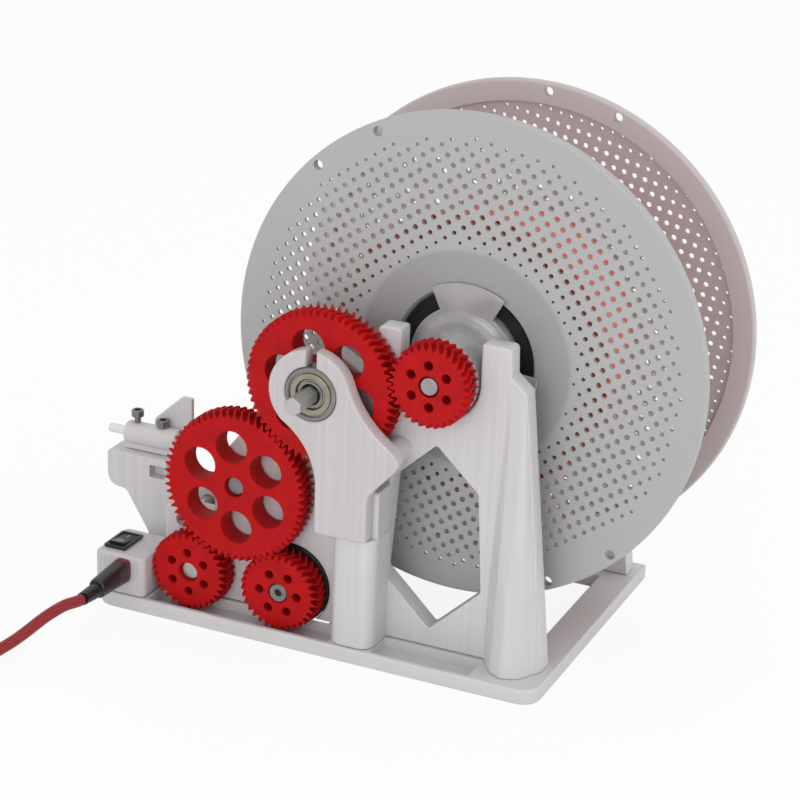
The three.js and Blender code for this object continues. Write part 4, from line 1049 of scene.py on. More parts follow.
def soft_edge(radius: float, place: float, across: float, along: float) -> list[list[float]]:
    """Quarter circle of a profile from a face to a side, in rows of radius and place.

    Args:
        radius: radius of the side.
        place: place of the face.
        across: the edge's radius, below 0 where the solid lies inside the side.
        along: the edge's radius, below 0 where the solid lies before the face.

    Returns:
        The rows, from the face to the side.
    """
    turn = np.linspace(0.0, math.pi / 2, 4)
    return [[radius + across * (1 - math.sin(t)), place + along * (1 - math.cos(t))] for t in turn]


def soft_rod(radius: float, start: float, end: float, edge: float) -> list[list[float]]:
    """Profile of a rod with rounded ends, from its axis out and back."""
    low = soft_edge(radius, start, -edge, edge)
    high = [[r, start + end - p] for r, p in low[::-1]]
    return [[0.0, start], *low, *high, [0.0, end]]


def soft_tube(inner: float, outer: float, start: float, end: float, edge: float) -> list[list[float]]:
    """Profile of a ring with rounded edges.

    Args:
        inner: radius of its bore.
        outer: radius of its outside.
        start: place of its first face.
        end: place of its last face.
        edge: radius of its edges.

    Returns:
        The rows, round the whole section.
    """
    outer_low = soft_edge(outer, start, -edge, edge)
    inner_high = soft_edge(inner, end, edge, -edge)
    outer_high, inner_low = (
        [[r, start + end - p] for r, p in rows[::-1]] for rows in (outer_low, inner_high))
    return [*outer_low, *outer_high, *inner_high, *inner_low]


def lengths_along(route: Grid) -> Grid:
    """Length of a route from its start to each of its points."""
    return np.concatenate([[0.0], np.cumsum(np.linalg.norm(np.diff(route, axis=0), axis=1))])


def directions(route: Grid) -> Grid:
    """Unit vector along a route at each of its points."""
    way = np.gradient(route, axis=0)
    return way / np.linalg.norm(way, axis=1)[:, None]


def tube_along(route: Grid, side: Grid, lift: Grid, radius: float, sides: int) -> Grid:
    """Carry a circle along a route.

    Args:
        route: points in order.
        side: unit vectors across the route.
        lift: unit vectors across the route and across side.
        radius: the circle's radius.
        sides: points round the tube.

    Returns:
        The grid of points, one row for each point of the route.
    """
    angle = np.linspace(0.0, 2 * math.pi, sides, endpoint=False)[None, :, None]
    return route[:, None] + radius * (side[:, None] * np.cos(angle) + lift[:, None] * np.sin(angle))


def smooth_route(points: Sequence[Sequence[float]], count: int) -> Grid:
    """Even points on a centripetal Catmull-Rom curve through the given ones.

    The knots are the square roots of the gaps, summed. Between the second and third of four points
    the curve is the blend of blends of their chords.

    Args:
        points: points that the curve goes through.
        count: number of points on the curve.

    Returns:
        The points, at even lengths along the curve.
    """
    p = np.asarray(points, float)
    ends = np.vstack([2 * p[0] - p[1], p, 2 * p[-1] - p[-2]])
    gaps = np.linalg.norm(np.diff(ends, axis=0), axis=1)
    knots = np.concatenate([[0.0], np.cumsum(np.sqrt(gaps))])
    fine, last = 24, len(ends) - 3
    runs = []
    for i in range(1, last + 1):
        t = np.linspace(knots[i], knots[i + 1], fine, endpoint=i == last)[:, None]
        k = knots[i - 1:i + 3]
        a, b, c, d = ends[i - 1:i + 3]
        ab = ((k[1] - t) * a + (t - k[0]) * b) / (k[1] - k[0])
        bc = ((k[2] - t) * b + (t - k[1]) * c) / (k[2] - k[1])
        cd = ((k[3] - t) * c + (t - k[2]) * d) / (k[3] - k[2])
        abc = ((k[2] - t) * ab + (t - k[0]) * bc) / (k[2] - k[0])
        bcd = ((k[3] - t) * bc + (t - k[1]) * cd) / (k[3] - k[1])
        runs.append(((k[2] - t) * abc + (t - k[1]) * bcd) / (k[2] - k[1]))
    dense = np.concatenate(runs)
    length = lengths_along(dense)
    even = np.linspace(0.0, length[-1], count)
    return np.stack([np.interp(even, length, dense[:, i]) for i in range(3)], -1)


class Shop:
    """Puts finished meshes into the scene, on their bodies."""

    def __init__(self, finishes: Finishes) -> None:
        """Keep the finishes."""
        self.finishes = finishes

    def put(self, name: str, skin: Skin, finish: str, body: str, *nodes: str,
            crease: float = 32.0) -> bpy.types.Object:
        """Make a piece that stands for solids of the frame.

        Args:
            name: the piece's name.
            skin: its surface.
            finish: name of its material.
            body: the body that it rides on.
            nodes: the solids that it replaces, if any.
            crease: angle past which an edge is sharp.

        Returns:
            The object.
        """
        mesh = skin.mesh(name, crease)
        mesh.materials.append(self.finishes[finish])
        piece = bpy.data.objects.new(name, mesh)
        bpy.context.scene.collection.objects.link(piece)
        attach(piece, body)
        self.finishes.slot(finish)
        if nodes:
            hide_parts(*nodes)
        log.info("%s: %d faces on %s", name, len(mesh.polygons), body)
        return piece


@dataclass(frozen=True)
class View:
    """The camera of the photograph, solved from its circles: radians, millimetres and pixels."""

    turn: float = 0.4100
    rise: float = 0.36624
    roll: float = 0.039535
    distance: float = 939.08
    shift_right: float = -25.228
    shift_up: float = -15.744
    target: tuple[float, float, float] = (0.0, 19.5, 122.0)
    focal_pixels: float = 2376.69
    picture_pixels: float = 800.0
    sensor: float = 36.0


@dataclass(frozen=True)
class Studio:
    """Floor, lamps, world and camera, in metres.

    Attributes:
        view: the camera's numbers.
        aim: the point that the lamps face.
        lamps: name, place, side and power of each square lamp.
        floor_half: half the floor's side.
        floor_grey: the floor's own brightness.
        floor_glow: share of plain white that the camera sees instead of it.
        world_light: strength of the even white light from all round.
    """

    view: View = View()
    aim: tuple[float, float, float] = (-0.02, 0.04, 0.09)
    lamps: tuple[tuple[str, tuple[float, float, float], float, float], ...] = (
        ("key", (0.08, -1.50, 0.58), 0.8, 6.0),
        ("fill", (1.15, 0.10, 0.62), 1.0, 3.0),
        ("top", (0.15, 0.30, 1.7), 1.3, 2.8),
    )
    floor_half: float = 14.0
    floor_grey: float = 0.90
    floor_glow: float = 0.88
    world_light: float = 0.76

    def add(self, name: str, data: bpy.types.ID) -> bpy.types.Object:
        """Link a new object with this data into the scene."""
        made = bpy.data.objects.new(name, data)
        bpy.context.scene.collection.objects.link(made)
        return made

    def camera(self) -> None:
        """Place the camera: back from the target along the view, then shifted across it."""
        view = self.view
        ct, st, cr, sr = math.cos(view.turn), math.sin(view.turn), math.cos(view.rise), math.sin(view.rise)
        back = np.array([st * cr, -ct * cr, sr])
        level = np.array([ct, st, 0.0])
        upright = np.cross(back, level)
        right = math.cos(view.roll) * level + math.sin(view.roll) * upright
        up = -math.sin(view.roll) * level + math.cos(view.roll) * upright
        place = view.distance * back + view.shift_right * right + view.shift_up * up + view.target
        data = bpy.data.cameras.new("photo_camera")
        data.sensor_width = view.sensor
        data.lens = view.focal_pixels * view.sensor / view.picture_pixels
        data.clip_start = 0.01
        camera = self.add("photo_camera", data)
        turned = Matrix(np.stack([right, up, back], 1).tolist()).to_4x4()
        camera.matrix_world = Matrix.Translation(Vector(place * MM)) @ turned
        bpy.context.scene.camera = camera

    def lamp(self, name: str, place: tuple[float, float, float], side: float, power: float) -> None:
        """Hang one square lamp that faces the winder.

        Args:
            name: its name.
            place: where it hangs.
            side: length of its side.
            power: its power in watts.
        """
        data = bpy.data.lights.new(name, "AREA")
        data.size = side
        data.energy = power
        way = Vector(self.aim) - Vector(place)
        turned = way.to_track_quat("-Z", "Y").to_matrix().to_4x4()
        self.add(name, data).matrix_world = Matrix.Translation(Vector(place)) @ turned

    def floor(self) -> None:
        """Lay the pale floor: nearly white to the camera, with the winder's shadow kept."""
        half = self.floor_half
        mesh = bpy.data.meshes.new("floor")
        mesh.from_pydata([(x, y, 0.0) for x, y in box(-half, half, -half, half)], [], [(0, 1, 2, 3)])
        floor = self.add("floor", mesh)
        g = Graph("floor_white")
        g.close((self.floor_grey,) * 3, 0.9)
        path = g.raw("ShaderNodeLightPath", {}, {})
        glow = g.raw("ShaderNodeEmission", {}, {"Color": WHITE, "Strength": 1.0})
        seen = Value(g, path.outputs["Is Camera Ray"]) * self.floor_glow
        mix = g.raw("ShaderNodeMixShader", {}, {0: seen, 1: g.shader.outputs[0], 2: glow.outputs[0]})
        g.tree.links.new(mix.outputs[0], g.output.inputs[0])
        mesh.materials.append(g.material)

    def world(self) -> None:
        """Set an even white world, brighter where the camera sees it."""
        world = bpy.data.worlds.new("studio")
        world.use_nodes = True
        tree = world.node_tree
        tree.nodes.clear()
        output = tree.nodes.new("ShaderNodeOutputWorld")
        path = tree.nodes.new("ShaderNodeLightPath")
        mix = tree.nodes.new("ShaderNodeMixShader")
        for place, strength in ((1, self.world_light), (2, 1.0)):
            plain = tree.nodes.new("ShaderNodeBackground")
            plain.inputs[0].default_value = WHITE
            plain.inputs[1].default_value = strength
            tree.links.new(plain.outputs[0], mix.inputs[place])
        tree.links.new(path.outputs["Is Camera Ray"], mix.inputs[0])
        tree.links.new(mix.outputs[0], output.inputs[0])
        bpy.context.scene.world = world

    def light(self) -> None:
        """Set the lamps, the floor and the world."""
        for lamp in self.lamps:
            self.lamp(*lamp)
        self.floor()
        self.world()
        bpy.context.scene.view_settings.view_transform = "Standard"


# ---------------------------------------------------------------- cord


@dataclass
class Cord:
    """The power cord with its plug, its coil and the flat plug at its far end.

    Attributes:
        shop: where finished pieces go.
        radius: the cord's radius.
        rest: height of the cord's middle where it lies.
        sides: points round the cord.
        coil_radius: middle radius of the coil.
        loops: turns of the coil.
        loop_steps: points on one turn.
        pitch: distance of two turns.
        centre: the coil's middle, X and Y.
        socket: the socket's axis, X and Z.
        tilt: angle by which the plug's cord end stands up.
        pivot: place along Y about which it is tilted.
        plug_ends: places of the plug's ends along Y.
        boot_ends: places of the strain relief's ends.
        lift: how far the plug's flat section lies above the socket's axis.
    """

    shop: Shop
    radius: float = 2.4
    rest: float = 2.5
    sides: int = 20
    coil_radius: float = 26.5
    loops: int = 5
    loop_steps: int = 48
    pitch: float = 5.4
    centre: tuple[float, float] = (-206.4, -116.5)
    socket: tuple[float, float] = (-131.0, 17.1)
    tilt: float = 2.8
    pivot: float = -23.2
    plug_ends: tuple[float, float] = (-25.42, -44.5)
    boot_ends: tuple[float, float] = (-44.52, -54.8)
    lift: float = 1.3

    def lead(self) -> Grid:
        """Route of the cord from its strain relief to its coil."""
        r = self.rest
        return smooth_route([
            (-131, -55.7, 18.7), (-131.8, -58.8, 18.8), (-134.6, -61.4, 18), (-137.6, -65, 16.2),
            (-140.8, -69.6, 13.6), (-144, -75, 10.3), (-147.4, -80.6, 7.2), (-151.2, -86.6, 4.6),
            (-154.6, -93.4, 3), (-157.4, -101.5, r), (-160.4, -112, r), (-166, -125, r),
            (-175, -137, r), (-187, -145.8, r), (-198, -149.4, r), (-205.5, -149.75, r)], 90)

    def coil(self) -> Grid:
        """Route of the coil: turns spiral in on the ground and out again on top, then to the plug.

        After t turns of n the radius is R + (n/4 - s) p with s the smaller of t and n - t. The climb
        of one pitch is a smooth step over the half turn about the middle.

        Returns:
            The points.
        """
        turns = np.arange(self.loops * self.loop_steps + 1) / self.loop_steps
        half = self.loops / 2
        inward = np.where(turns < half, turns, self.loops - turns)
        s = np.clip((turns - half + 0.25) / 0.5, 0, 1)
        climb = s * s * (3 - 2 * s)
        radius = self.coil_radius + (half / 2 - inward) * self.pitch
        angle = -math.pi / 2 - 2 * math.pi * turns
        coil = np.stack([self.centre[0] + radius * np.cos(angle), self.centre[1] + radius * np.sin(angle),
                         self.rest + climb * self.pitch], -1)
        tail = smooth_route([coil[-1], (-214, -149.9, 7.7), (-222, -150.6, 6.2), (-230, -151.5, 4.6),
                             (-238, -152, 4), (-244, -152, 4)], 24)
        return np.concatenate([coil, tail[1:]])

    def _sleeve(self, name: str, route: Grid, node: str) -> bpy.types.Object:
        """Make one stretch of braided cord with a UV map round and along it.

        U is the share of the way round, V the length over the cord's circumference, and both are 0 on
        the end faces.

        Args:
            name: the piece's name.
            route: the cord's middle line.
            node: the solid that it replaces.

        Returns:
            The piece.
        """
        way = directions(route)
        side = np.cross(way, np.array([0.0, 0.0, 1.0]))
        side /= np.linalg.norm(side, axis=1)[:, None]
        grid = tube_along(route, side, np.cross(side, way), self.radius, self.sides)
        skin = Skin()
        skin.add_grid(np.concatenate([grid, grid[:, :1]], 1))
        order = np.arange(self.sides)
        skin.add(grid[0], [order[::-1]], False)
        skin.add(grid[-1], [order], False)
        skin.faces = [face[::-1] for face in skin.faces]
        piece = self.shop.put(name, skin, "red_braid", "frame", node, crease=60.0)
        mesh = piece.data
        corners = np.empty(len(mesh.loops), np.int64)
        mesh.loops.foreach_get("vertex_index", corners)
        columns = self.sides + 1
        inside = corners < len(route) * columns
        row, column = np.divmod(corners[inside], columns)
        uv = np.zeros((len(corners), 2))
        uv[inside, 0] = column / self.sides
        uv[inside, 1] = lengths_along(route)[row] / (2 * math.pi * self.radius)
        mesh.uv_layers.new(name=Braid.layer).data.foreach_set("uv", uv.astype(np.float32).ravel())
        return piece

    def _tipped(self, skin: Skin) -> Skin:
        """Turn the plug's points about the socket so that the cord end stands a little higher."""
        pivot = np.array([0.0, self.pivot, self.socket[1]])
        skin.turn(-self.tilt, pivot, pivot)
        return skin

    def _flattened(self, skin: Skin) -> Skin:
        """Press the round plug flat: a square-shouldered upright section that grows round towards the cord.

        A point at angle a and radius r goes to r / (|cos a / w|^n + |sin a / t|^n)^(1/n), with the width
        w, the height t and the power n changing along the plug, and is raised by a share of the lift.

        Args:
            skin: the piece before.

        Returns:
            The same skin, pressed.
        """
        x, z = self.socket
        for i, points in enumerate(skin.points):
            along = np.clip((-25.0 - points[:, 1]) / 19.5, 0.0, 1.0)
            dx, dz = points[:, 0] - x, points[:, 2] - z
            reach = np.hypot(dx, dz) + TINY
            power = 4.2 - 1.6 * along
            across = np.abs(dx / reach) / (0.66 + 0.14 * along)
            tall = np.abs(dz / reach) / (0.96 - 0.1 * along)
            grow = np.maximum(across ** power + tall ** power, TINY) ** (-1.0 / power)
            lift = self.lift * np.clip((points[:, 1] + 50.0) / 25.0, 0.0, 1.0)
            skin.points[i] = np.stack([x + dx * grow, points[:, 1], z + dz * grow + lift], -1)
        return skin

    def plug(self) -> None:
        """Build the plug in its socket: collar, smooth body and tapered strain relief.

        The body narrows evenly to the cord, and both its ends are drawn in by a quarter of a sine.
        """
        collar = lathe(soft_tube(4.45, 5.3, -25.4, -22.4, 0.35), *self.socket)
        self._fit("plug_ring", self._tipped(self._flattened(collar)), "plug_collar", "red_collar", 32.0)
        start, end = self.plug_ends
        place = np.linspace(start, end, 60)
        share = (start - place) / (start - end)
        nose = np.sin(np.clip(share / 0.04, 0, 1) * math.pi / 2)
        tail = np.sin(np.clip((1.0 - share) / 0.08, 0, 1) * math.pi / 2)
        radius = (5.2 - 0.6 * share) * (0.93 + 0.07 * nose) * (0.87 + 0.13 * tail)
        body = lathe([[0.0, start], *zip(radius, place), [0.0, end]], *self.socket)
        self._fit("plug_grip", self._tipped(self._flattened(body)), "plug_body")
        start, end = self.boot_ends
        place = np.linspace(start, end, 56)
        share = (start - place) / (start - end)
        grooves = np.sin(share * 2 * math.pi * 3.5) < -0.3
        radius = np.maximum(3.2 - 0.5 * share - 0.14 * grooves, 2.45)
        boot = lathe([[0.0, start], *zip(radius, place), [0.0, end]], *self.socket)
        self._fit("plug_boot", self._tipped(boot), "plug_strain_relief")

    def _fit(self, name: str, skin: Skin, node: str, finish: str = "black_plastic",
             crease: float = 25.0) -> bpy.types.Object:
        """Put one piece of a plug on the frame."""
        return self.shop.put(name, skin, finish, "frame", node, crease=crease)

    def far_plug(self) -> list[bpy.types.Object]:
        """Build the flat plug at the far end: a waisted grip and a folded steel shell."""
        waisted = [(-265.3, -158.5), (-244.3, -157.2), (-244.3, -146.8), (-265.3, -145.5)]
        grip = Plate(rounded(waisted, 3.2), -7.8, -0.2, 1.6, Facing.UP).build()
        shell = Plate(rounded(box(-277.6, -265.6, -158, -146), 0.5), -6.25, -1.75, 0.3, Facing.UP)
        for y in (-154.6, -149.4):
            shell.pockets.append((rounded(box(-273.4, -270.6, y - 1, y + 1), 0.2), 0.5))
        return [self._fit("far_plug_grip", grip, "far_plug_body", crease=32.0),
                self._fit("far_plug_case", shell.build(), "far_plug_shell", "steel", 32.0)]

    def tie(self) -> bpy.types.Object:
        """Build the strap that holds the coil: a flat band closed round its turns.

        Its section is a super-ellipse of power 1 / 0.55 on each half axis, standing on the ground.

        Returns:
            The piece.
        """
        angle = np.linspace(0, 2 * math.pi, 40, endpoint=False)
        cos, sin = np.cos(angle), np.sin(angle)
        width, height, middle, thick = 10.4, 5.55, 5.75, 0.35
        across = self.coil_radius + width * np.sign(cos) * np.abs(cos) ** 0.55
        up = middle + height * np.sign(sin) * np.abs(sin) ** 0.55
        levels = np.array([-4.0, -3.6, 3.6, 4.0])[:, None]

        def side(spread: Grid, lowest: float) -> Grid:
            """One side of the band, spread outwards by a distance at each level."""
            return np.stack(np.broadcast_arrays(
                self.centre[0] + across + spread * cos, self.centre[1] + levels,
                np.maximum(up + spread * sin, lowest)), -1)

        outer = side(np.array([0.0, 0.25, 0.25, 0.0])[:, None], 0.02)
        inner = side(np.full((4, 1), -thick), 0.05)
        skin = Skin()
        skin.add_grid(np.concatenate([outer, inner[::-1], outer[:1]]), around=True)
        return self.shop.put("coil_tie", skin, "black_rubber", "frame")

    def build(self) -> None:
        self.plug()
        far = self.far_plug()
        tie = self.tie()
        lead_route, coil_route = self.lead(), self.coil()
        lead = self._sleeve("power_lead", lead_route, "power_cord")
        coil = self._sleeve("lead_coil", coil_route, "cord_coil")


# ---------------------------------------------------------------- gears


@dataclass(frozen=True)
class Gear:
    """One herringbone gear.

    Attributes:
        name: the piece's name.
        node: the solid that it replaces.
        body: the body that it rides on.
        teeth: number of teeth.
        centre: its axis.
        turn: direction of its first tooth in radians.
        hand: 1 or -1, the way in which the first half of its teeth leans.
        hole_turn: direction of its first hole in degrees.
        hexagonal: whether its bore takes the hexagonal shaft.
    """

    name: str
    node: str
    body: str
    teeth: int
    centre: Grid
    turn: float
    hand: int
    hole_turn: float
    hexagonal: bool = False

    @property
    def pitch_radius(self) -> float:
        """Radius at which the gear rolls, for teeth of one millimetre module."""
        return self.teeth / 2.0

    def ring(self, turn: float, shrink: float = 0.0) -> Grid:
        """Outline at one level: flat root, slanted flank and narrow tip for each tooth.

        Args:
            turn: direction of the first tooth.
            shrink: how far the whole outline is drawn in.

        Returns:
            The loop.
        """
        share = np.array([-0.37, -0.24, -0.10, 0.10, 0.24, 0.37])
        reach = self.pitch_radius + np.array([-1.25, -0.25, 1.0, 1.0, -0.25, -1.25]) - shrink
        angle = turn + 2 * math.pi * (np.arange(self.teeth)[:, None] + share) / self.teeth
        radius = np.broadcast_to(reach, angle.shape)
        return np.stack([self.centre[0] + radius * np.cos(angle), self.centre[1] + radius * np.sin(angle)],
                        -1).reshape(-1, 2)


@dataclass
class GearTrain:
    """The five gears on the front wall.

    Attributes:
        shop: where finished pieces go.
        front: place of the gears' front faces.
        back: place of their back faces.
        shift: how far a tooth leans along the pitch circle, from a face to the middle.
        edge: width of the bevels.
        bore: radius of the bores.
        small_holes: radius and reach of the six holes of a small gear.
        large_holes: the same for a large gear.
    """

    shop: Shop
    front: float = -15.5
    back: float = -5.5
    shift: float = 2.3
    edge: float = 0.25
    bore: float = 4.3
    small_holes: tuple[float, float] = (1.9, 8.5)
    large_holes: tuple[float, float] = (7.0, 17.3)

    def gears(self) -> list[Gear]:
        """Work out the turn of each gear from its mate, so that a tooth meets a space.

        Returns:
            The five gears.
        """
        def mesh(turn: float, teeth: int, direction: float, mate: int) -> float:
            """Turn of a mate that lies in a direction from a gear with this turn."""
            angle = math.radians(direction)
            share = (angle - turn) * teeth / (2 * math.pi)
            return angle + math.pi - (0.5 - share) * 2 * math.pi / mate

        small, large = SMALL_TEETH, LARGE_TEETH
        spool = math.pi / 2
        upper = mesh(spool, small, TO_UPPER, large)
        lower = mesh(upper, large, TO_LOWER, large)
        screw = mesh(lower, large, TO_TRAVERSE, small)
        motor = mesh(lower, large, TO_MOTOR, small)
        return [
            Gear("gear_on_spool", "spool_gear", "spool", small, SPOOL_AXIS, spool, 1, 32.7),
            Gear("gear_upper", "upper_idler_gear", "upper_idler", large, UPPER, upper, -1, 47.0, True),
            Gear("gear_lower", "lower_idler_gear", "lower_idler", large, LOWER, lower, 1, 34.2),
            Gear("gear_on_screw", "traverse_gear", "traverse_drive", small, TRAVERSE, screw, -1, 32.8),
            Gear("gear_on_motor", "motor_gear", "motor_drive", small, MOTOR, motor, -1, 58.9),
        ]

    def skin(self, gear: Gear) -> Skin:
        """Build a gear: outlines at levels that lean to the middle and back, and bored faces.

        Args:
            gear: the gear.

        Returns:
            Its skin.
        """
        level = np.array([0.0, 0.25, 1.5, 3.0, 4.3, 5.0, 5.7, 7.0, 8.5, 9.75, 10.0])
        middle, width = level[5], level[-1]
        lean = self.shift * (1 - np.abs(level - middle) / middle) * gear.hand / gear.pitch_radius
        shrink = np.where((level == 0) | (level == width), self.edge, 0.0)
        rings = np.stack([gear.ring(gear.turn + a, s) for a, s in zip(lean, shrink)])
        hole, reach = self.small_holes if gear.teeth == SMALL_TEETH else self.large_holes
        bore = circle(*gear.centre, self.bore, 6 if gear.hexagonal else 48, 90.0)
        holes = [circle(*step(gear.centre, gear.hole_turn + 60.0 * i, reach), hole, 40) for i in range(6)]
        skin = Skin()
        skin.add_grid(lay(rings, self.front + level[:, None], Facing.GEARS), around=True)
        insets = np.array([self.edge, 0.0, 0.0, self.edge])
        levels = np.array([self.front, self.front + self.edge, self.back - self.edge, self.back])
        front, back = [rings[0]], [rings[-1]]
        for ring in (bore, *holes):
            first, last = wall(skin, ring[::-1], insets, levels, Facing.GEARS)
            front.append(first)
            back.append(last)
        cap(skin, front, self.front, Facing.GEARS, False)
        cap(skin, back, self.back, Facing.GEARS, True)
        return skin

    def build(self) -> None:
        """Build every gear."""
        for gear in self.gears():
            self.shop.put(gear.name, self.skin(gear), "red_print", gear.body, gear.node, crease=24.0)


# ---------------------------------------------------------------- spool


@dataclass
class Spool:
    """The perforated spool, its filament, its hubs, rubber rings, shaft and nut.

    Attributes:
        shop: where finished pieces go.
        radius: radius of the flanges.
        front: place of the front flange's outer face.
        back: place of the rear flange's outer face.
        flange: thickness of a flange's rim and hub zone.
        bore: radius of the spool's bore.
        core: radius of the tube that the filament is wound on.
        web: thickness of the web with the small holes.
        recess: outer radius of the web.
        zone: inner radius of the web.
        mouth: radius of the bore's flared mouth.
        pitch: distance of two small holes.
        slant: turn of their lattice in degrees.
        wound: radius of the filament at the front.
        wound_rear: the same at the rear.
        thread: radius of one turn of filament.
        plug: radius of the hub where it fills the bore.
        shaft_bore: radius of the hub's own bore.
    """

    shop: Shop
    radius: float = 100.0
    front: float = 19.5
    back: float = 86.5
    flange: float = 4.0
    bore: float = 27.5
    core: float = 42.0
    web: float = 1.6
    recess: float = 91.0
    zone: float = 45.0
    mouth: float = 30.0
    pitch: float = 4.6
    slant: float = 34.4
    wound: float = 59.0
    wound_rear: float = 49.0
    thread: float = 0.875
    plug: float = 22.4
    shaft_bore: float = 4.35

    def put(self, name: str, skin: Skin, finish: str, *nodes: str, crease: float = 32.0) -> None:
        """Put one piece on the spool's body."""
        self.shop.put(name, skin, finish, "spool", *nodes, crease=crease)

    def lattice(self, turn: float) -> tuple[Grid, Grid]:
        """Centres and radii of the small holes.

        A square lattice, turned, between two radii. A hole is widest half way between them and
        narrows to under a half at both: its radius is 0.5 + 0.72 s^0.8 with s the share of the way in
        from the nearer edge over 11 mm.

        Args:
            turn: degrees by which the whole pattern is turned about the axis.

        Returns:
            Centres of N by 2 and radii of N.
        """
        a = math.radians(self.slant)
        u = np.array([math.cos(a), math.sin(a)]) * self.pitch
        v = np.array([math.sin(a), -math.cos(a)]) * self.pitch
        i, j = np.meshgrid(np.arange(-30, 31), np.arange(-30, 31), indexing="ij")
        first = np.array([-38.43, 40.84])
        centres = i.reshape(-1, 1) * u + j.reshape(-1, 1) * v + first
        reach = np.hypot(*centres.T)
        inside = (reach > 45.9) & (reach < 90.2)
        centres, reach = centres[inside], reach[inside]
        edge = np.minimum(reach - 45.3, 91.7 - reach)
        radii = 0.5 + 0.72 * np.clip(edge / 11.0, 0, 1) ** 0.8
        c, s = math.cos(math.radians(turn)), math.sin(math.radians(turn))
        return centres @ np.array([[c, s], [-s, c]]) + SPOOL_AXIS, radii

    def half(self, face: float, inward: int, turn: float, rim_turn: float) -> Skin:
        """Build one half: full rim, thin web with its small holes, full hub zone and core tube.

        Args:
            face: place of the outer face.
            inward: 1 if the half lies behind its outer face, -1 if before it.
            turn: degrees by which the small holes are turned.
            rim_turn: direction of the first pair of holes in the rim.

        Returns:
            The half's skin.
        """
        def span(depth: float) -> tuple[float, float]:
            """First and last level of a plate that lies behind the outer face."""
            return (face, face + depth) if inward > 0 else (face - depth, face)

        skin = Skin()
        rim = Plate(circle(*SPOOL_AXIS, self.radius, 192), *span(self.flange), 1.1, steps=4)
        rim.holes.append((circle(*SPOOL_AXIS, self.recess, 192), 0.0))
        spread, reach = 9.2, 96.2
        for side in (-spread, spread):
            for opposite in (0.0, 180.0):
                place = step(SPOOL_AXIS, rim_turn + side + opposite, reach)
                rim.holes.append((circle(*place, 2.0, 28), 0.2))
        rim.build(skin)
        web = Plate(circle(*SPOOL_AXIS, self.recess, 192), *span(self.web), 0.0)
        web.holes.append((circle(*SPOOL_AXIS, self.zone, 96), 0.0))
        unit = circle(0, 0, 1.0, 8, 22.5)
        centres, radii = self.lattice(turn)
        web.holes.extend((centre + radius * unit, 0.0) for centre, radius in zip(centres, radii))
        web.build(skin)
        middle = (self.front + self.back) / 2 - inward * 0.15
        inner = face + inward * self.flange
        return lathe([[self.mouth, face], [self.zone, face], [self.zone, inner - inward * 0.4],
                      [self.zone - 0.4, inner], [self.core, inner], [self.core, middle],
                      [self.bore, middle], [self.bore, inner]], *SPOOL_AXIS, 96, skin=skin)

    def filament(self) -> None:
        """Wind the outer layer as one helix over the layers below it, narrowing to the rear."""
        thick, loops, steps = self.thread, 32, 64
        t = np.linspace(0, 1, loops * steps + 1)
        angle = 2 * math.pi * loops * t
        start, end = self.front + self.flange + 2 * thick, self.back - self.flange - 2 * thick
        radius = self.wound + (self.wound_rear - self.wound) * t - thick
        route = np.stack([SPOOL_AXIS[0] + radius * np.cos(angle), start + (end - start) * t,
                          SPOOL_AXIS[1] + radius * np.sin(angle)], -1)
        out = np.stack([np.cos(angle), 0 * angle, np.sin(angle)], -1)
        sides = 8
        grid = tube_along(route, np.cross(directions(route), out), out, thick, sides)
        skin = Skin()
        skin.add_grid(grid[:, ::-1], around=True)
        order = np.arange(sides)
        skin.add(grid[0], [order], False)
        skin.add(grid[-1], [order[::-1]], False)
        low, high = self.front + self.flange + 0.4, self.back - self.flange - 0.4
        inner, bevel, below = self.core + 0.3, 0.5, 1.9
        lathe([[inner, low], [self.wound - 2.2, low], [self.wound - below, low + bevel],
               [self.wound_rear - below, high - bevel], [self.wound_rear - 2.2, high],
               [inner, high]], *SPOOL_AXIS, 96, skin=skin)
        self.put("wound_filament", skin, "orange_filament", "filament_winding", "filament_core", crease=60.0)

    def hub(self, face: float, inward: int, end: float) -> Skin:
        """Build one hub: three lobes on the flange, a plug in the bore, and the drum with its soft foot.

        Args:
            face: place of the flange's outer face.
            inward: 1 for the front hub, -1 for the rear one.
            end: place of the drum's free end.

        Returns:
            The hub's skin.
        """
        outer, seat = face - inward * 1.8, face - inward * 0.3
        runs = []
        for i in range(3):
            middle = 88.0 + 120.0 * i
            runs.append(circle(*SPOOL_AXIS, 32.0, 28, middle - 29, 58.0))
            runs.append(circle(*SPOOL_AXIS, self.plug, 26, middle + 30, 60.0))
        lobes = Plate(loop(*runs), min(outer, seat), max(outer, seat), 0.35)
        lobes.holes.append((circle(*SPOOL_AXIS, self.shaft_bore, 48), 0.0))
        skin = lobes.build()
        turn = np.linspace(0.0, math.pi / 2, 8)
        sunk = inward * 0.12
        foot = [[22.0 - 5.7 * math.sin(t), outer - inward * 4.2 * (1 - math.cos(t)) + sunk] for t in turn]
        lathe([[self.shaft_bore, end], [15.6, end], [16.3, end + inward * 0.7], *foot[::-1],
               [self.shaft_bore, outer + sunk]], *SPOOL_AXIS, 96, skin=skin)
        start, deep, bevel = seat - inward * 0.2, face + inward * 16.0, 0.6
        lathe([[self.shaft_bore, start], [self.plug, start], [self.plug, deep - inward * bevel],
               [self.plug - bevel, deep], [self.shaft_bore, deep]], *SPOOL_AXIS, 96, skin=skin)
        return skin

    def grip(self, face: float, inward: int) -> Skin:
        """Build the rubber ring round a hub's plug: a sleeve in the bore with a flared lip."""
        inside, deep = self.plug + 0.3, 12.0
        profile = [[inside, 3.0], [26.6, 2.0], [28.3, 1.0], [28.6, 1.5], [27.3, 4.6], [27.2, 11.5],
                   [26.7, deep], [inside, deep]]
        return lathe([[r, face + inward * d] for r, d in profile], *SPOOL_AXIS, 96)

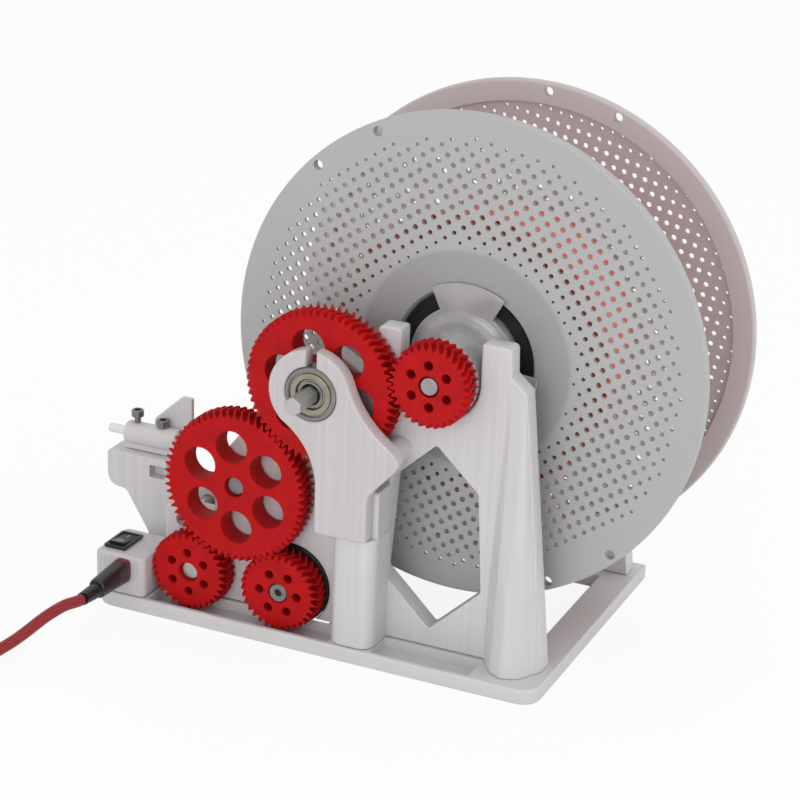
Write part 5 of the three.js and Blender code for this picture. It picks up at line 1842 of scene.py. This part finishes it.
    def build(self) -> None:
        """Build everything that turns with the spool, but for its gear."""
        halves = (("front", "grey_mould", self.front, 1, 0.0, 124.2, -5.2),
                  # The rear half takes the lighter copy of the grey: painted light.
                  ("rear", "grey_mould_rear", self.back, -1, -46.8, 77.5, 110.0))
        for name, finish, face, inward, turn, rim_turn, _ in halves:
            skin = self.half(face, inward, turn, rim_turn)
            self.put(f"spool_half_{name}", skin, finish, f"spool_{name}_half")
        self.filament()
        for name, _, face, inward, _, _, end in halves:
            self.put(f"hub_{name}", self.hub(face, inward, end), "clear_print", f"{name}_hub")
        for name, _, face, inward, _, _, _ in halves:
            self.put(f"grip_ring_{name}", self.grip(face, inward), "black_rubber", f"{name}_grip_ring")
        self.put("shaft_of_spool", lathe(soft_rod(3.7, -15.2, 120.3, 0.7), *SPOOL_AXIS), "shaft_steel",
                 "spool_shaft")
        nut = Plate(circle(*SPOOL_AXIS, 8.0, 6, 90.0), 110.3, 117.3)
        nut.holes.append((circle(*SPOOL_AXIS, 4.3, 48), 0.4))
        self.put("nut_of_shaft", nut.build(), "steel", "spool_shaft_nut")


# ---------------------------------------------------------------- frame


@dataclass
class Housing:
    """Base, walls, bracket and their screws.

    Attributes:
        shop: where finished pieces go.
        base_top: height of the base's top.
        wall_foot: height of the walls' feet.
        front: places of the front wall's faces.
        rear: places of the rear wall's faces.
        left: place of the walls' left end.
        shelf: height of the walls' low left part.
        slot: half the width of the fork's slot.
        fork_top: height of the prongs.
        race: radius of a bearing's seat.
        passage: radius of the hole behind the seat.
        lip: depth of the wall that stays in front of a seat.
        bracket_edge: radius of the bracket's edges and of the front wall's.
    """

    shop: Shop
    base_top: float = 6.5
    wall_foot: float = 6.8
    front: tuple[float, float] = (-4.5, 4.5)
    rear: tuple[float, float] = (98.5, 107.5)
    left: float = -121.0
    shelf: float = 43.98
    slot: float = 16.9
    fork_top: float = 139.2
    race: float = 11.15
    passage: float = 5.3
    lip: float = 2.0
    bracket_edge: float = 0.8

    def put(self, name: str, skin: Skin, finish: str, node: str) -> None:
        """Put one piece on the frame."""
        self.shop.put(name, skin, finish, "frame", node)

    def base(self) -> None:
        """Build the base: a ring with round front corners and two trays along its front."""
        outline = rounded(box(-145, 53, -22, 113.5), [9, 9, 0.8, 0.8], 12)
        plate = Plate(outline, -self.base_top, 0.0, 0.7, Facing.UP)
        bay = [(-130.5, 8), (-81.0, 8), (-81.0, -4.8), (-44.3, -4.8), (-44.3, 8), (38.5, 8),
               (38.5, 93.5), (-130.5, 93.5)]
        plate.holes.append((rounded(bay, [2, 0.6, 0.6, 0.6, 0.6, 2, 2, 2]), 0.5))
        floor = 2.0
        for left, right in ((-120.5, -37.5), (-18.5, 24.5)):
            plate.pockets.append((rounded(box(left, right, -20, -5.5), 0.6, 3), self.base_top - floor))
        self.put("base_ring", plate.build(), "white_level", "base_frame")

    def fork(self, side: int) -> list[tuple[float, float]]:
        """Outline of one prong, counter-clockwise round the wall.

        It goes from the shoulder up, round the soft top and down into the slot, or back on the left.

        Args:
            side: 1 for the right prong, -1 for the left one.

        Returns:
            The points.
        """
        soft, top, slot = 2.4, self.fork_top, self.slot
        if side > 0:
            edge, shoulder = 29.2, [(36.3, 121.8), (29.6, 127.6)]
        else:
            edge, shoulder = 26.8, [(33.5, 119.0), (26.8, 122.1)]
        outer = curve((edge, top - soft), (edge, top), (edge - soft, top), 6)
        inner = curve((slot + soft / 2, top), (slot, top), (slot, top - soft / 2), 4)
        points = [*shoulder, *outer.tolist(), *inner.tolist(), (slot, SPOOL_AXIS[1])]
        return [(side * x, z) for x, z in (points if side > 0 else points[::-1])]

    def wall(self, faces: tuple[float, float], edge: float, left: Sequence) -> Plate:
        """Start a wall: right leg, fork, slot, the given left side, and the six-sided window.

        Args:
            faces: places of its faces.
            edge: radius of its edges.
            left: points and runs of points from the left prong down to the foot.

        Returns:
            The plate.
        """
        right = [(49.0, self.wall_foot), *self.fork(1)]
        slot = circle(*SPOOL_AXIS, self.slot, 40, 0.0, -180.0)
        plate = Plate(loop(right, slot, self.fork(-1)[1:], *left), *faces, edge)
        window = [(0, 14.5), (21.5, 35), (18.5, 77), (0, 94), (-18.5, 77), (-21.5, 35)]
        plate.holes.append((rounded(window, 1.2, 4), 0.4))
        return plate

    def column(self, skin: Skin) -> None:
        """Add the post under the bracket: a rounded nose carried upright, and the blocks behind.

        Args:
            skin: the front wall's skin.
        """
        left, right, front, round_, seat = -37.48, -18.48, -21.0, 6.0, -4.0
        nose = loop(circle(left + round_, front + round_, round_, 14, 180.0, 90.0),
                    circle(right - round_, front + round_, round_, 14, 270.0, 90.0),
                    [(right, seat), (left, seat)])
        Plate(nose, -54.2, -self.wall_foot, 0.5, Facing.UP).build(skin)
        side = rounded(box(-16.2, seat, 53.9, 74.0), [0.8, 0.4, 0.4, 2.0], 4)
        Plate(side, 18.7, 37.3, 0.6, Facing.SIDE).build(skin)
        lathe([[0, -16.2], [4.9, -16.2], [5.2, -15.9], [5.2, seat], [0, seat]], *BRACKET_SCREWS[1], skin=skin)

    def buttress(self, skin: Skin) -> None:
        """Add the buttress: four flat facets over its height.

        Each section is a polygon of five corners, given by place across and share of the depth. The
        depth shrinks to the shoulder, and every inner corner is a small parabola between its edges.

        Args:
            skin: the front wall's skin.
        """
        foot, knee, top = self.wall_foot, 33.8, 117.6
        z = np.linspace(foot, top, 28)
        left = np.interp(z, [knee, top], [24.5, 29.09])
        flank = np.full(len(z), 30.6)
        ridge = np.full(len(z), 36.3)
        face = np.interp(z, [knee, 100.0, top], [42.9, 37.7, 36.45])
        right = 48.6 - 12.7 * (z - foot) / 115.0
        depth = np.interp(z, [foot, knee, top], [12.4, 9.38, 0.03])
        across = np.stack([left, flank, ridge, face, right], 1)
        out = depth[:, None] * np.array([0.0, 0.74, 1.0, 0.80, 0.0])
        corners = np.stack([across, self.front[0] - out], -1)
        bend, runs = 0.10, [corners[:, :1]]
        for i in (1, 2, 3):
            before = corners[:, i] + bend * (corners[:, i - 1] - corners[:, i])
            after = corners[:, i] + bend * (corners[:, i + 1] - corners[:, i])
            runs.append(np.stack([before, 0.25 * before + 0.5 * corners[:, i] + 0.25 * after, after], 1))
        section = np.concatenate([*runs, corners[:, 4:]], 1)
        sunk = np.stack([np.stack([right, left], 1), np.full((len(z), 2), -4.0)], -1)
        flat = np.concatenate([section, sunk], 1)
        height = np.broadcast_to(z[:, None, None], (*flat.shape[:2], 1))
        skin.add_grid(np.concatenate([flat, height], -1)[:, ::-1], around=True, ends=True)

    def front_wall(self) -> None:
        """Build the front wall with its column and buttress.

        Its left side runs round the upper idler's seat, down the tangent of both idlers' arcs, and
        along the shelf. A round bay over the foot clears the motor's gearbox.
        """
        front, back = self.front
        tangent, bay = 143.4, 18.0
        left = [
            circle(*UPPER, 12.5, 16, 90.0, tangent - 90.0),
            circle(*LOWER, 14.2, 12, tangent, 180.0 - tangent),
            [(-98.0, self.shelf), (self.left, self.shelf), (self.left, self.wall_foot)],
        ]
        plate = self.wall(self.front, self.bracket_edge, left)
        drop = math.degrees(math.asin((MOTOR[1] - self.wall_foot) / bay))
        plate.outline = loop(plate.outline, circle(*MOTOR, bay, 60, -drop, 180.0 + 2 * drop)[::-1])
        seat = front + self.lip
        for centre in (UPPER, TRAVERSE):
            plate.drill(centre, (self.passage, front), (self.passage, seat), (self.race, seat),
                        (self.race, back))
        plate.drill(LOWER, (4.1, front), (4.1, back))
        plate.drill(ROD, (3.0, front), (3.0, back))
        skin = plate.build()
        self.column(skin)
        self.buttress(skin)
        self.put("wall_front", skin, "white_upright", "front_wall")

    def rear_wall(self) -> None:
        """Build the rear wall with the seat of the screw's bearing."""
        front, back = self.rear
        left = [[(-41.83, self.shelf), (self.left, self.shelf), (self.left, self.wall_foot)]]
        plate = self.wall(self.rear, 0.5, left)
        seat = back - self.lip
        plate.drill(TRAVERSE, (self.race, front), (self.race, seat), (self.passage, seat),
                    (self.passage, back))
        self.put("wall_rear", plate.build(), "white_upright", "rear_wall")

    def bracket(self) -> None:
        """Build the bracket: a slit ring on an arm that swings to its foot and its side lug.

        The slit is wider outside than at the bearing, so each of its sides leans: an edge that lies a
        distance d from the middle line of a circle with radius r stands asin(d / r) from it.
        """
        ring, reach = UPPER + np.array([-0.5, 0.2]), 17.7
        slit_left = math.degrees(math.asin(1.8 / reach))
        slit_right = math.degrees(math.asin(2.8 / reach))
        seat = math.degrees(math.asin(2.3 / self.race))
        arm, neck = 16.0, 228.0
        shoulder, tip = (-12.2, 96.3), (-8.2, 91.2)
        outline = loop(
            circle(-41.38, 56.53, 2.0, 8, 180.0, 90.0), circle(-21.88, 55.53, 1.0, 6, 270.0, 90.0),
            curve((-20.88, 71.5), (-20.88, 74.6), (-18.2, 77.5), 8),
            curve((-10.4, 86.0), (-7.7, 88.9), tip, 10)[:-1],
            curve(tip, (-8.7, 93.5), shoulder, 10)[:-1],
            curve(shoulder, (-24.9, 104.6), step(ring, arm, reach), 26),
            circle(*ring, reach, 32, arm, 90.0 - arm - slit_right),
            circle(*UPPER, self.race, 64, 90.0 - seat, -360.0 + 2 * seat),
            circle(*ring, reach, 50, 90.0 + slit_left, neck - 90.0 - slit_left),
            curve(step(ring, neck, reach), (-45.38, 91.72), (-43.38, 76.03), 26))
        plate = Plate(outline, -23.5, -16.5, self.bracket_edge)
        # Its white is the darker copy of the print: painted shade.
        self.put("bracket", plate.build(), "bracket_print", "bearing_bracket")

    def screws(self) -> None:
        """Build the socket screws under the base and behind the bracket."""
        upright = [[0, 1.4], [1.3, 1.4], [1.4, 0.1], [2.7, 0.1], [3.0, 0.4], [3.0, 3.0], [1.5, 3.0],
                   [1.5, 12.8], [0, 12.8]]
        for x, y, node in ((40, 0, "front_wall_screw_right"), (-116, 0, "front_wall_screw_left"),
                           (40, 103, "rear_wall_screw_right"), (-116, 103, "rear_wall_screw_left")):
            self.put(f"screw_{node}", lathe(upright, x, y, 32, "Z"), "dark_steel", node)
        level = [[0, -20.0], [1.5, -20.0], [1.5, 4.8], [3.0, 4.8], [3.0, 7.4], [2.7, 7.7], [1.4, 7.7],
                 [1.3, 6.4], [0, 6.4]]
        for centre, node in zip(BRACKET_SCREWS, ("bracket_screw_lower", "bracket_screw_upper")):
            self.put(f"screw_{node}", lathe(level, *centre, 32), "dark_steel", node)

    def build(self) -> None:
        """Build the whole frame."""
        self.base()
        self.front_wall()
        self.rear_wall()
        self.bracket()
        self.screws()


# ---------------------------------------------------------------- bearings and shafts


@dataclass
class Bearings:
    """Ball bearings of 22 by 8 by 7 mm, with pressed shields.

    Attributes:
        shop: where finished pieces go.
        width: a bearing's width.
        race: half the outer ring's profile from its middle out, in rows of radius and depth.
        hub: half the inner ring's profile.
        shield: radius up to which the outer ring's faces are shield.
    """

    shop: Shop
    width: float = 7.0
    race: tuple[tuple[float, float], ...] = (
        (6.25, 0.4), (6.5, 0.12), (8.3, 0.12), (8.55, 0.25), (8.8, 0.9), (9.2, 0.9), (9.35, 0.3), (9.55, 0.3),
        (9.75, 0.0), (10.5, 0.0), (11.0, 0.5))
    hub: tuple[tuple[float, float], ...] = (
        (4.05, 0.5), (4.5, 0.0), (5.1, 0.0), (5.35, 0.2), (5.4, 0.9), (5.95, 1.0))
    shield: float = 8.7

    def ring(self, half: Corners, centre: Grid, start: float) -> Skin:
        """Turn a ring from half its profile and the same half mirrored on its far side."""
        end = start + self.width
        far = [[r, end - d] for r, d in half[::-1]]
        return lathe([*[[r, start + d] for r, d in half], *far], *centre, 96)

    def rings(self, name: str, centre: Grid, start: float, body: str) -> None:
        """Build one bearing: grooved outer ring with shields, and inner ring.

        Args:
            name: the bearing's name.
            centre: its axis.
            start: place of its front face.
            body: the body that its inner ring rides on.
        """
        put = self.shop.put
        mesh = put(f"{name}_race", self.ring(self.race, centre, start), "bearing_steel", "frame",
                   f"{name}_outer_ring", crease=28.0).data
        mesh.materials.append(self.shop.finishes["shield_steel"])
        centres = np.empty(len(mesh.polygons) * 3)
        mesh.polygons.foreach_get("center", centres)
        where = centres.reshape(-1, 3) / MM
        reach = np.hypot(where[:, 0] - centre[0], where[:, 2] - centre[1])
        mesh.polygons.foreach_set("material_index", (reach < self.shield).astype(np.int32))
        put(f"{name}_hub", self.ring(self.hub, centre, start), "bearing_steel", body,
            f"{name}_inner_ring", crease=28.0)

    def build(self) -> None:
        """Build the four bearings."""
        for name, centre, start, body in (
                ("bracket_bearing", UPPER, -23.5, "upper_idler"),
                ("idler_bearing", UPPER, -2.5, "upper_idler"),
                ("traverse_front_bearing", TRAVERSE, -2.5, "traverse_drive"),
                ("traverse_rear_bearing", TRAVERSE, 98.5, "traverse_drive")):
            self.rings(name, centre, start, body)


@dataclass
class Drive:
    """Idler shafts, motor and traverse screw."""

    shop: Shop

    def idlers(self) -> None:
        """Build the hexagonal shaft, its collar and the fixed axle."""
        hexagon = Plate(circle(*UPPER, 3.8, 6, 90.0), -38.5, 8.8, 0.35).build()
        collar = lathe(soft_tube(4.3, 6.6, 4.8, 8.8, 0.4), *UPPER)
        axle = lathe(soft_rod(4.0, -13.0, 4.2, 0.4), *LOWER)
        self.shop.put("hex_shaft", hexagon, "hex_steel", "upper_idler", "hex_drive_shaft", crease=20.0)
        self.shop.put("collar", collar, "steel", "upper_idler", "hex_shaft_collar")
        self.shop.put("axle", axle, "axle_steel", "frame", "lower_idler_axle")

    def motor(self) -> None:
        """Build the gear motor: gearbox, can, end cap with two tabs, and shaft."""
        gearbox = [[4.3, -4.8], [17.2, -4.8], [17.7, -4.3], [17.7, 7.6], [17.4, 8.0], [17.7, 8.4],
                   [17.7, 20.7], [17.2, 21.2], [4.3, 21.2]]
        can = [[0, 21.5], [16.0, 21.5], [16.4, 21.9], [16.4, 61.6], [15.9, 62.6], [14.6, 63.5], [0, 63.5]]
        cap_end = [[0, 63.8], [15.4, 63.8], [15.4, 66.6], [14.6, 67.5], [6, 67.5], [5.2, 69.5], [0, 69.5]]
        shaft = [[0, -11.2], [1.5, -11.2], [1.5, -14.9], [1.8, -15.2], [3.6, -15.2], [4.0, -14.8],
                 [4.0, 20.9], [0, 20.9]]
        self.shop.put("gearbox", lathe(gearbox, *MOTOR, 96), "black_plastic", "frame", "motor_gearbox")
        self.shop.put("can", lathe(can, *MOTOR, 96), "steel", "frame", "motor_can")
        skin = lathe(cap_end, *MOTOR)
        for side in (-9.5, 9.5):
            tab = rounded(box_about(MOTOR[0] + side, MOTOR[1], 0.4, 1.5), 0.1, 2)
            Plate(tab, 67.0, 69.4, 0.1).build(skin)
        self.shop.put("end_cap", skin, "black_plastic", "frame", "motor_end_cap")
        self.shop.put("shaft_of_motor", lathe(shaft, *MOTOR), "axle_steel", "motor_drive", "motor_shaft")

    def traverse(self) -> None:
        """Build the reversing screw and the guide rod.

        The screw's radius drops in two crossing helical grooves. A point lies in a groove where its
        turns along the screw, plus or minus its turns around it, come near a whole number.
        """
        pitch, first, last, depth, half_width, flank = 14.2, 11.0, 92.0, 1.5, 1.9, 0.5
        theta = np.linspace(0, 2 * math.pi, 72, endpoint=False)
        y = np.linspace(8.8, 94.2, 400)[:, None]
        groove = np.zeros((len(y), len(theta)))
        for hand in (-1, 1):
            phase = (y - 12.0) / pitch + hand * theta / (2 * math.pi)
            off = np.abs(phase - np.round(phase)) * pitch
            groove = np.maximum(groove, np.clip((half_width - off) / flank, 0, 1))
        ends = np.clip(np.minimum(y - first, last - y) / 0.8, 0, 1)
        radius = 8.0 - depth * groove * ends
        body = np.stack([TRAVERSE[0] + radius * np.cos(theta), np.broadcast_to(y, radius.shape),
                         TRAVERSE[1] + radius * np.sin(theta)], -1)
        skin = Skin()
        skin.add_grid(body, around=True, ends=True)
        lathe([[0, -13.0], [3.6, -13.0], [4.0, -12.6], [4.0, 4.8], [6.0, 4.8], [6.0, 9.0], [0, 9.0]],
              *TRAVERSE, skin=skin)
        lathe([[0, 94.0], [6.0, 94.0], [6.0, 98.2], [4.0, 98.2], [4.0, 106.8], [3.6, 107.2], [0, 107.2]],
              *TRAVERSE, skin=skin)
        self.shop.put("reversing_screw", skin, "steel", "traverse_drive", "traverse_screw", crease=26.0)
        self.shop.put("rod", lathe(soft_rod(3.0, 0.3, 106.2, 0.3), *ROD), "steel", "frame", "guide_rod")

    def build(self) -> None:
        """Build the shafts, the motor and the screw."""
        self.idlers()
        self.motor()
        self.traverse()


# ---------------------------------------------------------------- carriage


@dataclass
class Carriage:
    """The traverse carriage with its clamp, tube, screws and pawl.

    Attributes:
        shop: where finished pieces go.
        front: place of its front face.
        back: place of its back face.
        middle: place of the guide tube's axis along Y.
        height: height of that axis.
    """

    shop: Shop
    front: float = 17.5
    back: float = 32.5
    middle: float = 25.0
    height: float = 59.2

    def put(self, name: str, skin: Skin, finish: str, node: str) -> None:
        """Put one piece on the carriage."""
        self.shop.put(name, skin, finish, "carriage", node)

    def body(self) -> None:
        """Build the printed carriage, a block with a column and a head in one outline, and its pawl."""
        outline = rounded(
            [(-93, 8.6), (-93, 44.98), (-133, 44.98), (-133, 51.98), (-162.4, 51.98), (-162.4, 35.48),
             (-153.4, 35.48), (-142, 17.2), (-142, 8.6)], [1.0, 9.0, 1.0, 1.5, 1.5, 7.0, 2.0, 2.0, 0.8], 10)
        plate = Plate(outline, self.front, self.back, 0.7)
        plate.drill(TRAVERSE, (8.3, self.front), (8.3, self.back))
        plate.drill(ROD, (3.2, self.front), (3.2, self.back))
        plate.pockets.append((rounded(box(-141.5, -134.0, 43.4, 49.0), 0.4, 3), 5.0))
        self.put("carriage_print", plate.build(), "white_upright", "traverse_carriage")
        pawl = lathe(soft_rod(3.0, 28.6, 44.0, 0.3), TRAVERSE[0], self.middle, 48, "Z")
        self.put("pawl", pawl, "brass", "follower_pawl")

    def clamp(self) -> None:
        """Build the clamp, a barrel on a neck with a fin behind it, and its tube."""
        barrel = [[2.3, -156.3], [4.0, -156.3], [4.6, -156.0], [5.0, -155.3], [5.0, -131.8],
                  [4.6, -131.2], [4.2, -131.0], [2.3, -131.0]]
        skin = lathe(barrel, self.middle, self.height, 64, "X")
        Plate(rounded(box(-156.2, -131.2, 52.3, 57.5), 0.5, 3), 22.5, 27.5, 0.4).build(skin)
        fin = rounded([(-145.0, self.height), (-127.0, self.height), (-127.0, 78.0), (-132.0, 78.0),
                       (-145.0, 66.0)], 0.8, 4)
        Plate(fin, 28.3, 30.7, 0.35).build(skin)
        self.put("clamp", skin, "white_along", "tube_clamp")
        tube = lathe(soft_tube(1.2, 2.0, -165.0, -127.0, 0.25), self.middle, self.height, 40, "X")
        self.put("clear_tube", tube, "tube_clear", "guide_tube")

    def screws(self) -> None:
        """Build the two socket screws on the barrel, one proud and one seated."""
        for x, lift, node in ((-151.5, 2.4, "proud_tube_screw"), (-139.2, 0.0, "seated_tube_screw")):
            tip, seat = self.height + 2.3 + lift, self.height + 5.3 + lift
            top, socket = seat + 3.0, seat + 1.4
            profile = [[0, tip], [1.2, tip], [1.4, tip + 0.3], [1.4, seat], [2.5, seat], [2.7, seat + 0.25],
                       [2.7, seat + 2.6], [2.4, top], [1.45, top], [1.3, socket], [0, socket]]
            self.put(f"screw_{node}", lathe(profile, x, self.middle, 40, "Z"), "screw_steel", node)

    def build(self) -> None:
        """Build the carriage."""
        self.body()
        self.clamp()
        self.screws()


# ---------------------------------------------------------------- control box


@dataclass
class ControlBox:
    """The box with its rocker switch and its socket.

    Attributes:
        shop: where finished pieces go.
        top: height of the box.
        switch: the switch's middle, X and Y.
        key_base: height of the bezel's underside and of the rocker's axis.
        tilt: lean of the rocker at rest in degrees.
        socket_axis: the socket's axis, X and Z.
    """

    shop: Shop
    top: float = 24.4
    switch: tuple[float, float] = (-138.0, -10.0)
    key_base: float = 24.7
    tilt: float = 7.0
    socket_axis: tuple[float, float] = (-131.0, 17.1)

    def cover(self) -> None:
        """Build the cover with soft edges and an opening for the switch."""
        plate = Plate(rounded(box(-145, -121.5, -22, 4), 3.0, 8), -self.top, -6.8, 1.3, Facing.UP)
        plate.pockets.append((rounded(box_about(*self.switch, 4.7, 7.35), 0.3, 2), 8.0))
        self.shop.put("box_cover", plate.build(), "box_print", "frame", "control_box")

    def crown(self, along: Grid) -> Grid:
        """Height of the rocker's top: 1.2 + 0.4 |t / 6|^1.4 at a distance t from its middle."""
        return 1.2 + 0.4 * np.abs(along / 6.0) ** 1.4

    def bezel(self) -> None:
        """Build the switch's housing: a bezel and the body below it, with the well of the rocker."""
        base, low = self.key_base, 7.0
        well = rounded(box_about(*self.switch, 3.7, 6.35), 0.2, 2)
        rim = rounded(box_about(*self.switch, 5.1, 7.75), 0.6, 4)
        bezel = Plate(rim, -(base + 1.2), -base, 0.3, Facing.UP)
        bezel.holes.append((well, 0.0))
        body = Plate(rounded(box_about(*self.switch, 4.4, 7.05), 0.3, 2), -(base + 0.1), -(base - low), 0.0,
                     Facing.UP)
        body.pockets.append((well, 5.8))
        self.shop.put("switch_frame", body.build(bezel.build()), "black_plastic", "frame", "switch_housing")

    def rocker(self) -> None:
        """Build the rocker, whose top is a shallow valley, and its two marks, laid on that valley."""
        place, axis = np.array([*self.switch, self.key_base]), np.zeros(3)
        t = np.linspace(-6.0, 6.0, 25)
        top = np.stack([t, self.crown(t)], -1)
        key = Plate(loop([(-5.5, -1.2), (5.5, -1.2)], top[::-1]), -3.35, 3.35, 0.2, Facing.SIDE).build()
        key.turn(-self.tilt, axis, place)
        self.shop.put("rocker_key", key, "black_plastic", "rocker", "switch_rocker", crease=25.0)
        round_mark = Plate(circle(0.0, -3.0, 1.35, 32), -1.0, 0.0, 0.0, Facing.UP)
        round_mark.holes.append((circle(0.0, -3.0, 0.95, 32), 0.0))
        straight_mark = Plate(np.array(box(-0.22, 0.22, 2.5, 4.8)), -1.0, 0.0, 0.0, Facing.UP)
        marks = straight_mark.build(round_mark.build())
        sunk, thick = 0.15, 0.2
        for i, p in enumerate(marks.points):
            height = self.crown(p[:, 1]) - sunk + thick * p[:, 2]
            marks.points[i] = np.stack([p[:, 0], p[:, 1], height], -1)
        marks.turn(-self.tilt, axis, place)
        self.shop.put("rocker_marks", marks, "mark_white", "rocker")

    def socket(self) -> None:
        """Build the socket's barrel."""
        profile = [[1.5, -22.5], [3.0, -22.5], [3.2, -22.3], [3.2, -18.3], [1.5, -18.3]]
        barrel = lathe(profile, *self.socket_axis)
        self.shop.put("socket", barrel, "black_plastic", "frame", "power_socket")

    def build(self) -> None:
        """Build the box."""
        self.cover()
        self.bezel()
        self.rocker()
        self.socket()


def main() -> None:
    """Build the scene in order."""
    logging.basicConfig(level=logging.INFO, format="%(name)s %(message)s")
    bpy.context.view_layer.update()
    studio = Studio()
    studio.camera()
    shop = Shop(Finishes())
    for group in (Cord, GearTrain, Spool, Housing, Bearings, Drive, Carriage, ControlBox):
        group(shop).build()
    studio.light()


if __name__ == "__main__":
    main()
